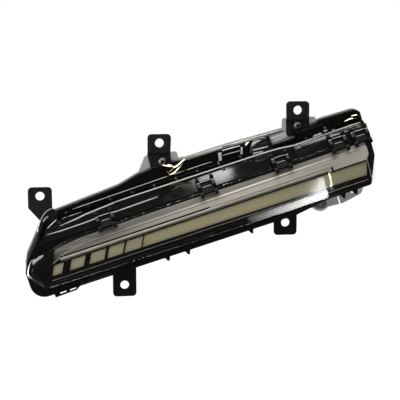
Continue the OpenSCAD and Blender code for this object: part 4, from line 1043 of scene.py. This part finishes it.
soft_card("flank_patch", [
    flank_row(1.5, [(196, 0), (215, 2), (240, 8), (258, 18), (270, 26), (281.5, 26), (283, 0)]),
    flank_row(5, [(200, 1), (215, 5), (240, 14), (258, 20), (270, 22), (281, 20), (282.5, 0)]),
    flank_row(8.6, [(200, 0.5), (215, 2), (240, 6), (258, 10), (270, 12), (280.5, 12), (282, 0)])],
    flank_normal, (1, 0.98, 0.96))
print("soft cards: 3")

# %% [markdown]
# Beside the patch on the front stands a narrow warm glint with hard edges. One flat card is enough for it.
# It stands a little nearer than the soft cards, so that none of them covers it.

# %% Card for the glint
GLINT_FAR = 0.88
glint = [(287.4, 11.6), (289.4, 11.6), (288.6, 2), (286.6, -6), (285.6, -6), (287, 2)]
glint_spots = [at(u, FRONT_W, v) for u, v in glint]
glint_corners = [spot + mirrored(spot, front_normal) * GLINT_FAR for spot in glint_spots]
only_mirrored("front_glint", glint_corners, [tuple(range(len(glint)))], (1, 0.93, 0.72), 30)
print("glint corners:", len(glint_corners))

# %% [markdown]
# Rims and beads share one slope, half way between the front and the top. A long card stands where that slope
# mirrors the camera along the whole lamp, and its brightness changes from place to place as the light lines
# do in the picture. The nose, the lip, the cap and the cheek lie away from that line, so each has a card of
# its own that follows its bead.

# %% Cards for the edges
EDGE_FAR, RIM_FAR, CAP_FAR = 0.95, 0.85, 0.8
BEAD_SLOPE = 45


def level_at(u, levels):
    """The radiance at a place along the lamp, read from a list of (place, radiance)."""
    for (a, low), (b, high) in zip(levels, levels[1:]):
        if u <= b:
            return low + (high - low) * max(0, u - a) / (b - a)
    return levels[-1][1]


def ribbon_card(name, path, levels, spread, distance):
    """A card that the sloping face of a bead mirrors, wide enough for a slope that is off by spread."""
    rows = []
    for spot, front, side in stations(path):
        place = at(*spot)
        row = []
        for lean in (-spread, 0, spread):
            tilt = math.radians(BEAD_SLOPE + lean)
            face = front * math.cos(tilt) + side * math.sin(tilt)
            row.append((place + mirrored(place, turned(*face)) * distance, level_at(spot.x, levels)))
        rows.append(row)
    glowing_grid(name, rows, (1, 0.98, 0.94))


edge_levels = [(-20, 8), (24, 9), (50, 11), (82, 11), (98, 6), (113, 6), (125, 22), (135, 34), (190, 34),
               (200, 20), (209, 12), (225, 5), (240, 7), (256, 3), (268, 4), (280, 12), (298, 16), (336, 10),
               (350, 8)]
edge_path = [(u, 40, 43) for u in range(-20, 351, 5)]
cap_top = [on_cap_rim(angle) for angle in range(140, 40, -10)]
cheek_top = cheek_path[:1] + cheek_path[2:6]
ribbon_card("edge_card", edge_path, edge_levels, 8, EDGE_FAR)
ribbon_card("nose_card", nose_path, [(-22, 60), (-20.5, 60), (-19, 30), (-16, 24), (-2, 14)], 3.5, RIM_FAR)
ribbon_card("lip_card", lip_path, [(-3, 9), (60, 4), (150, 3), (252, 3)], 7, RIM_FAR)
ribbon_card("cap_card", cap_top, [(220, 14), (250, 14)], 4, CAP_FAR)
ribbon_card("cheek_card", cheek_top, [(-6, 14), (20, 14)], 3, CAP_FAR)
print("brightest place of the long card:", max(radiance for u, radiance in edge_levels))

# %% [markdown]
# The nose's card would also show, far too bright, in the underside of the lamp when it is seen from the
# outer end. A dark flag beside the nose, as bright as the room, keeps most of it out of that mirror.

# %% Flag beside the nose
FLAG_U = -26
FLAG_FRONT, FLAG_BACK = 14, 100
FLAG_LOW, FLAG_HIGH = -130, 30
flag = [at(FLAG_U, FLAG_FRONT, FLAG_LOW), at(FLAG_U, FLAG_FRONT, FLAG_HIGH),
        at(FLAG_U, FLAG_BACK, FLAG_HIGH), at(FLAG_U, FLAG_BACK, FLAG_LOW)]
only_mirrored("nose_flag", flag, [(0, 1, 2, 3)], ROOM_COLOUR, ROOM_GLOW)
print("flag:", FLAG_BACK - FLAG_FRONT, "mm deep,", FLAG_HIGH - FLAG_LOW, "mm high")

# %% [markdown]
# The world is white for the camera, and in mirrors wherever the dark room doesn't hide it. For matt surfaces
# it is a calm grey light, so that their colours aren't washed out.

# %% World
WORLD_CALM = 0.15
world = bpy.data.worlds.new("studio")
bpy.context.scene.world = world
world.use_nodes = True
sky = world.node_tree
path = add(sky, "LightPath")
direct = maths(sky, "ADD", maths(sky, "ADD", path.outputs["Is Camera Ray"], path.outputs["Is Glossy Ray"]),
               path.outputs["Is Transmission Ray"], True)
calm = sky.nodes["Background"]
calm.inputs["Color"].default_value = (0.96, 0.98, 1, 1)
calm.inputs["Strength"].default_value = WORLD_CALM
white = add(sky, "Background", {"Color": (1, 1, 1, 1), "Strength": 1.0})
joined = add(sky, "MixShader", {0: direct, 1: calm.outputs[0], 2: white.outputs[0]})
sky.links.new(joined.outputs[0], sky.nodes["World Output"].inputs["Surface"])
print("world strength for matt surfaces:", WORLD_CALM)

# %% [markdown]
# The floor is pale and catches the lamp's shadow. For the camera most of it is its own glow, so that it runs
# into the white behind it without a line.

# %% Floor
FLOOR_GAP = 0.06
FLOOR_NEAR, FLOOR_FAR, FLOOR_HALF = -4, 80.0, 40.0
FLOOR_GLOW, GLOW_SHARE = 1.1, 0.9
floor_z = solid_box[0].z - FLOOR_GAP
floor_mesh = bpy.data.meshes.new("floor")
floor_corners = [(-FLOOR_HALF, FLOOR_NEAR, floor_z), (FLOOR_HALF, FLOOR_NEAR, floor_z),
                 (FLOOR_HALF, FLOOR_FAR, floor_z), (-FLOOR_HALF, FLOOR_FAR, floor_z)]
floor_mesh.from_pydata(floor_corners, [], [(0, 1, 2, 3)])
floor = bpy.data.objects.new("floor", floor_mesh)
bpy.context.scene.collection.objects.link(floor)
floor.visible_glossy = False
floor_paint, floor_tree, floor_shader = fresh_material("floor_paint")
fill(floor_shader, Base_Color=(0.86, 0.86, 0.86, 1), Roughness=0.9, Specular_IOR_Level=0.1)
glow = add(floor_tree, "Emission", {"Color": (1, 1, 1, 1), "Strength": FLOOR_GLOW})
eye = add(floor_tree, "LightPath")
seen = maths(floor_tree, "MULTIPLY", eye.outputs["Is Camera Ray"], GLOW_SHARE)
pale = add(floor_tree, "MixShader", {0: seen, 1: floor_shader.outputs[0], 2: glow.outputs[0]})
floor_tree.links.new(pale.outputs[0], floor_tree.nodes["Material Output"].inputs["Surface"])
floor_mesh.materials.append(floor_paint)
print("floor at", round(floor_z, 4))
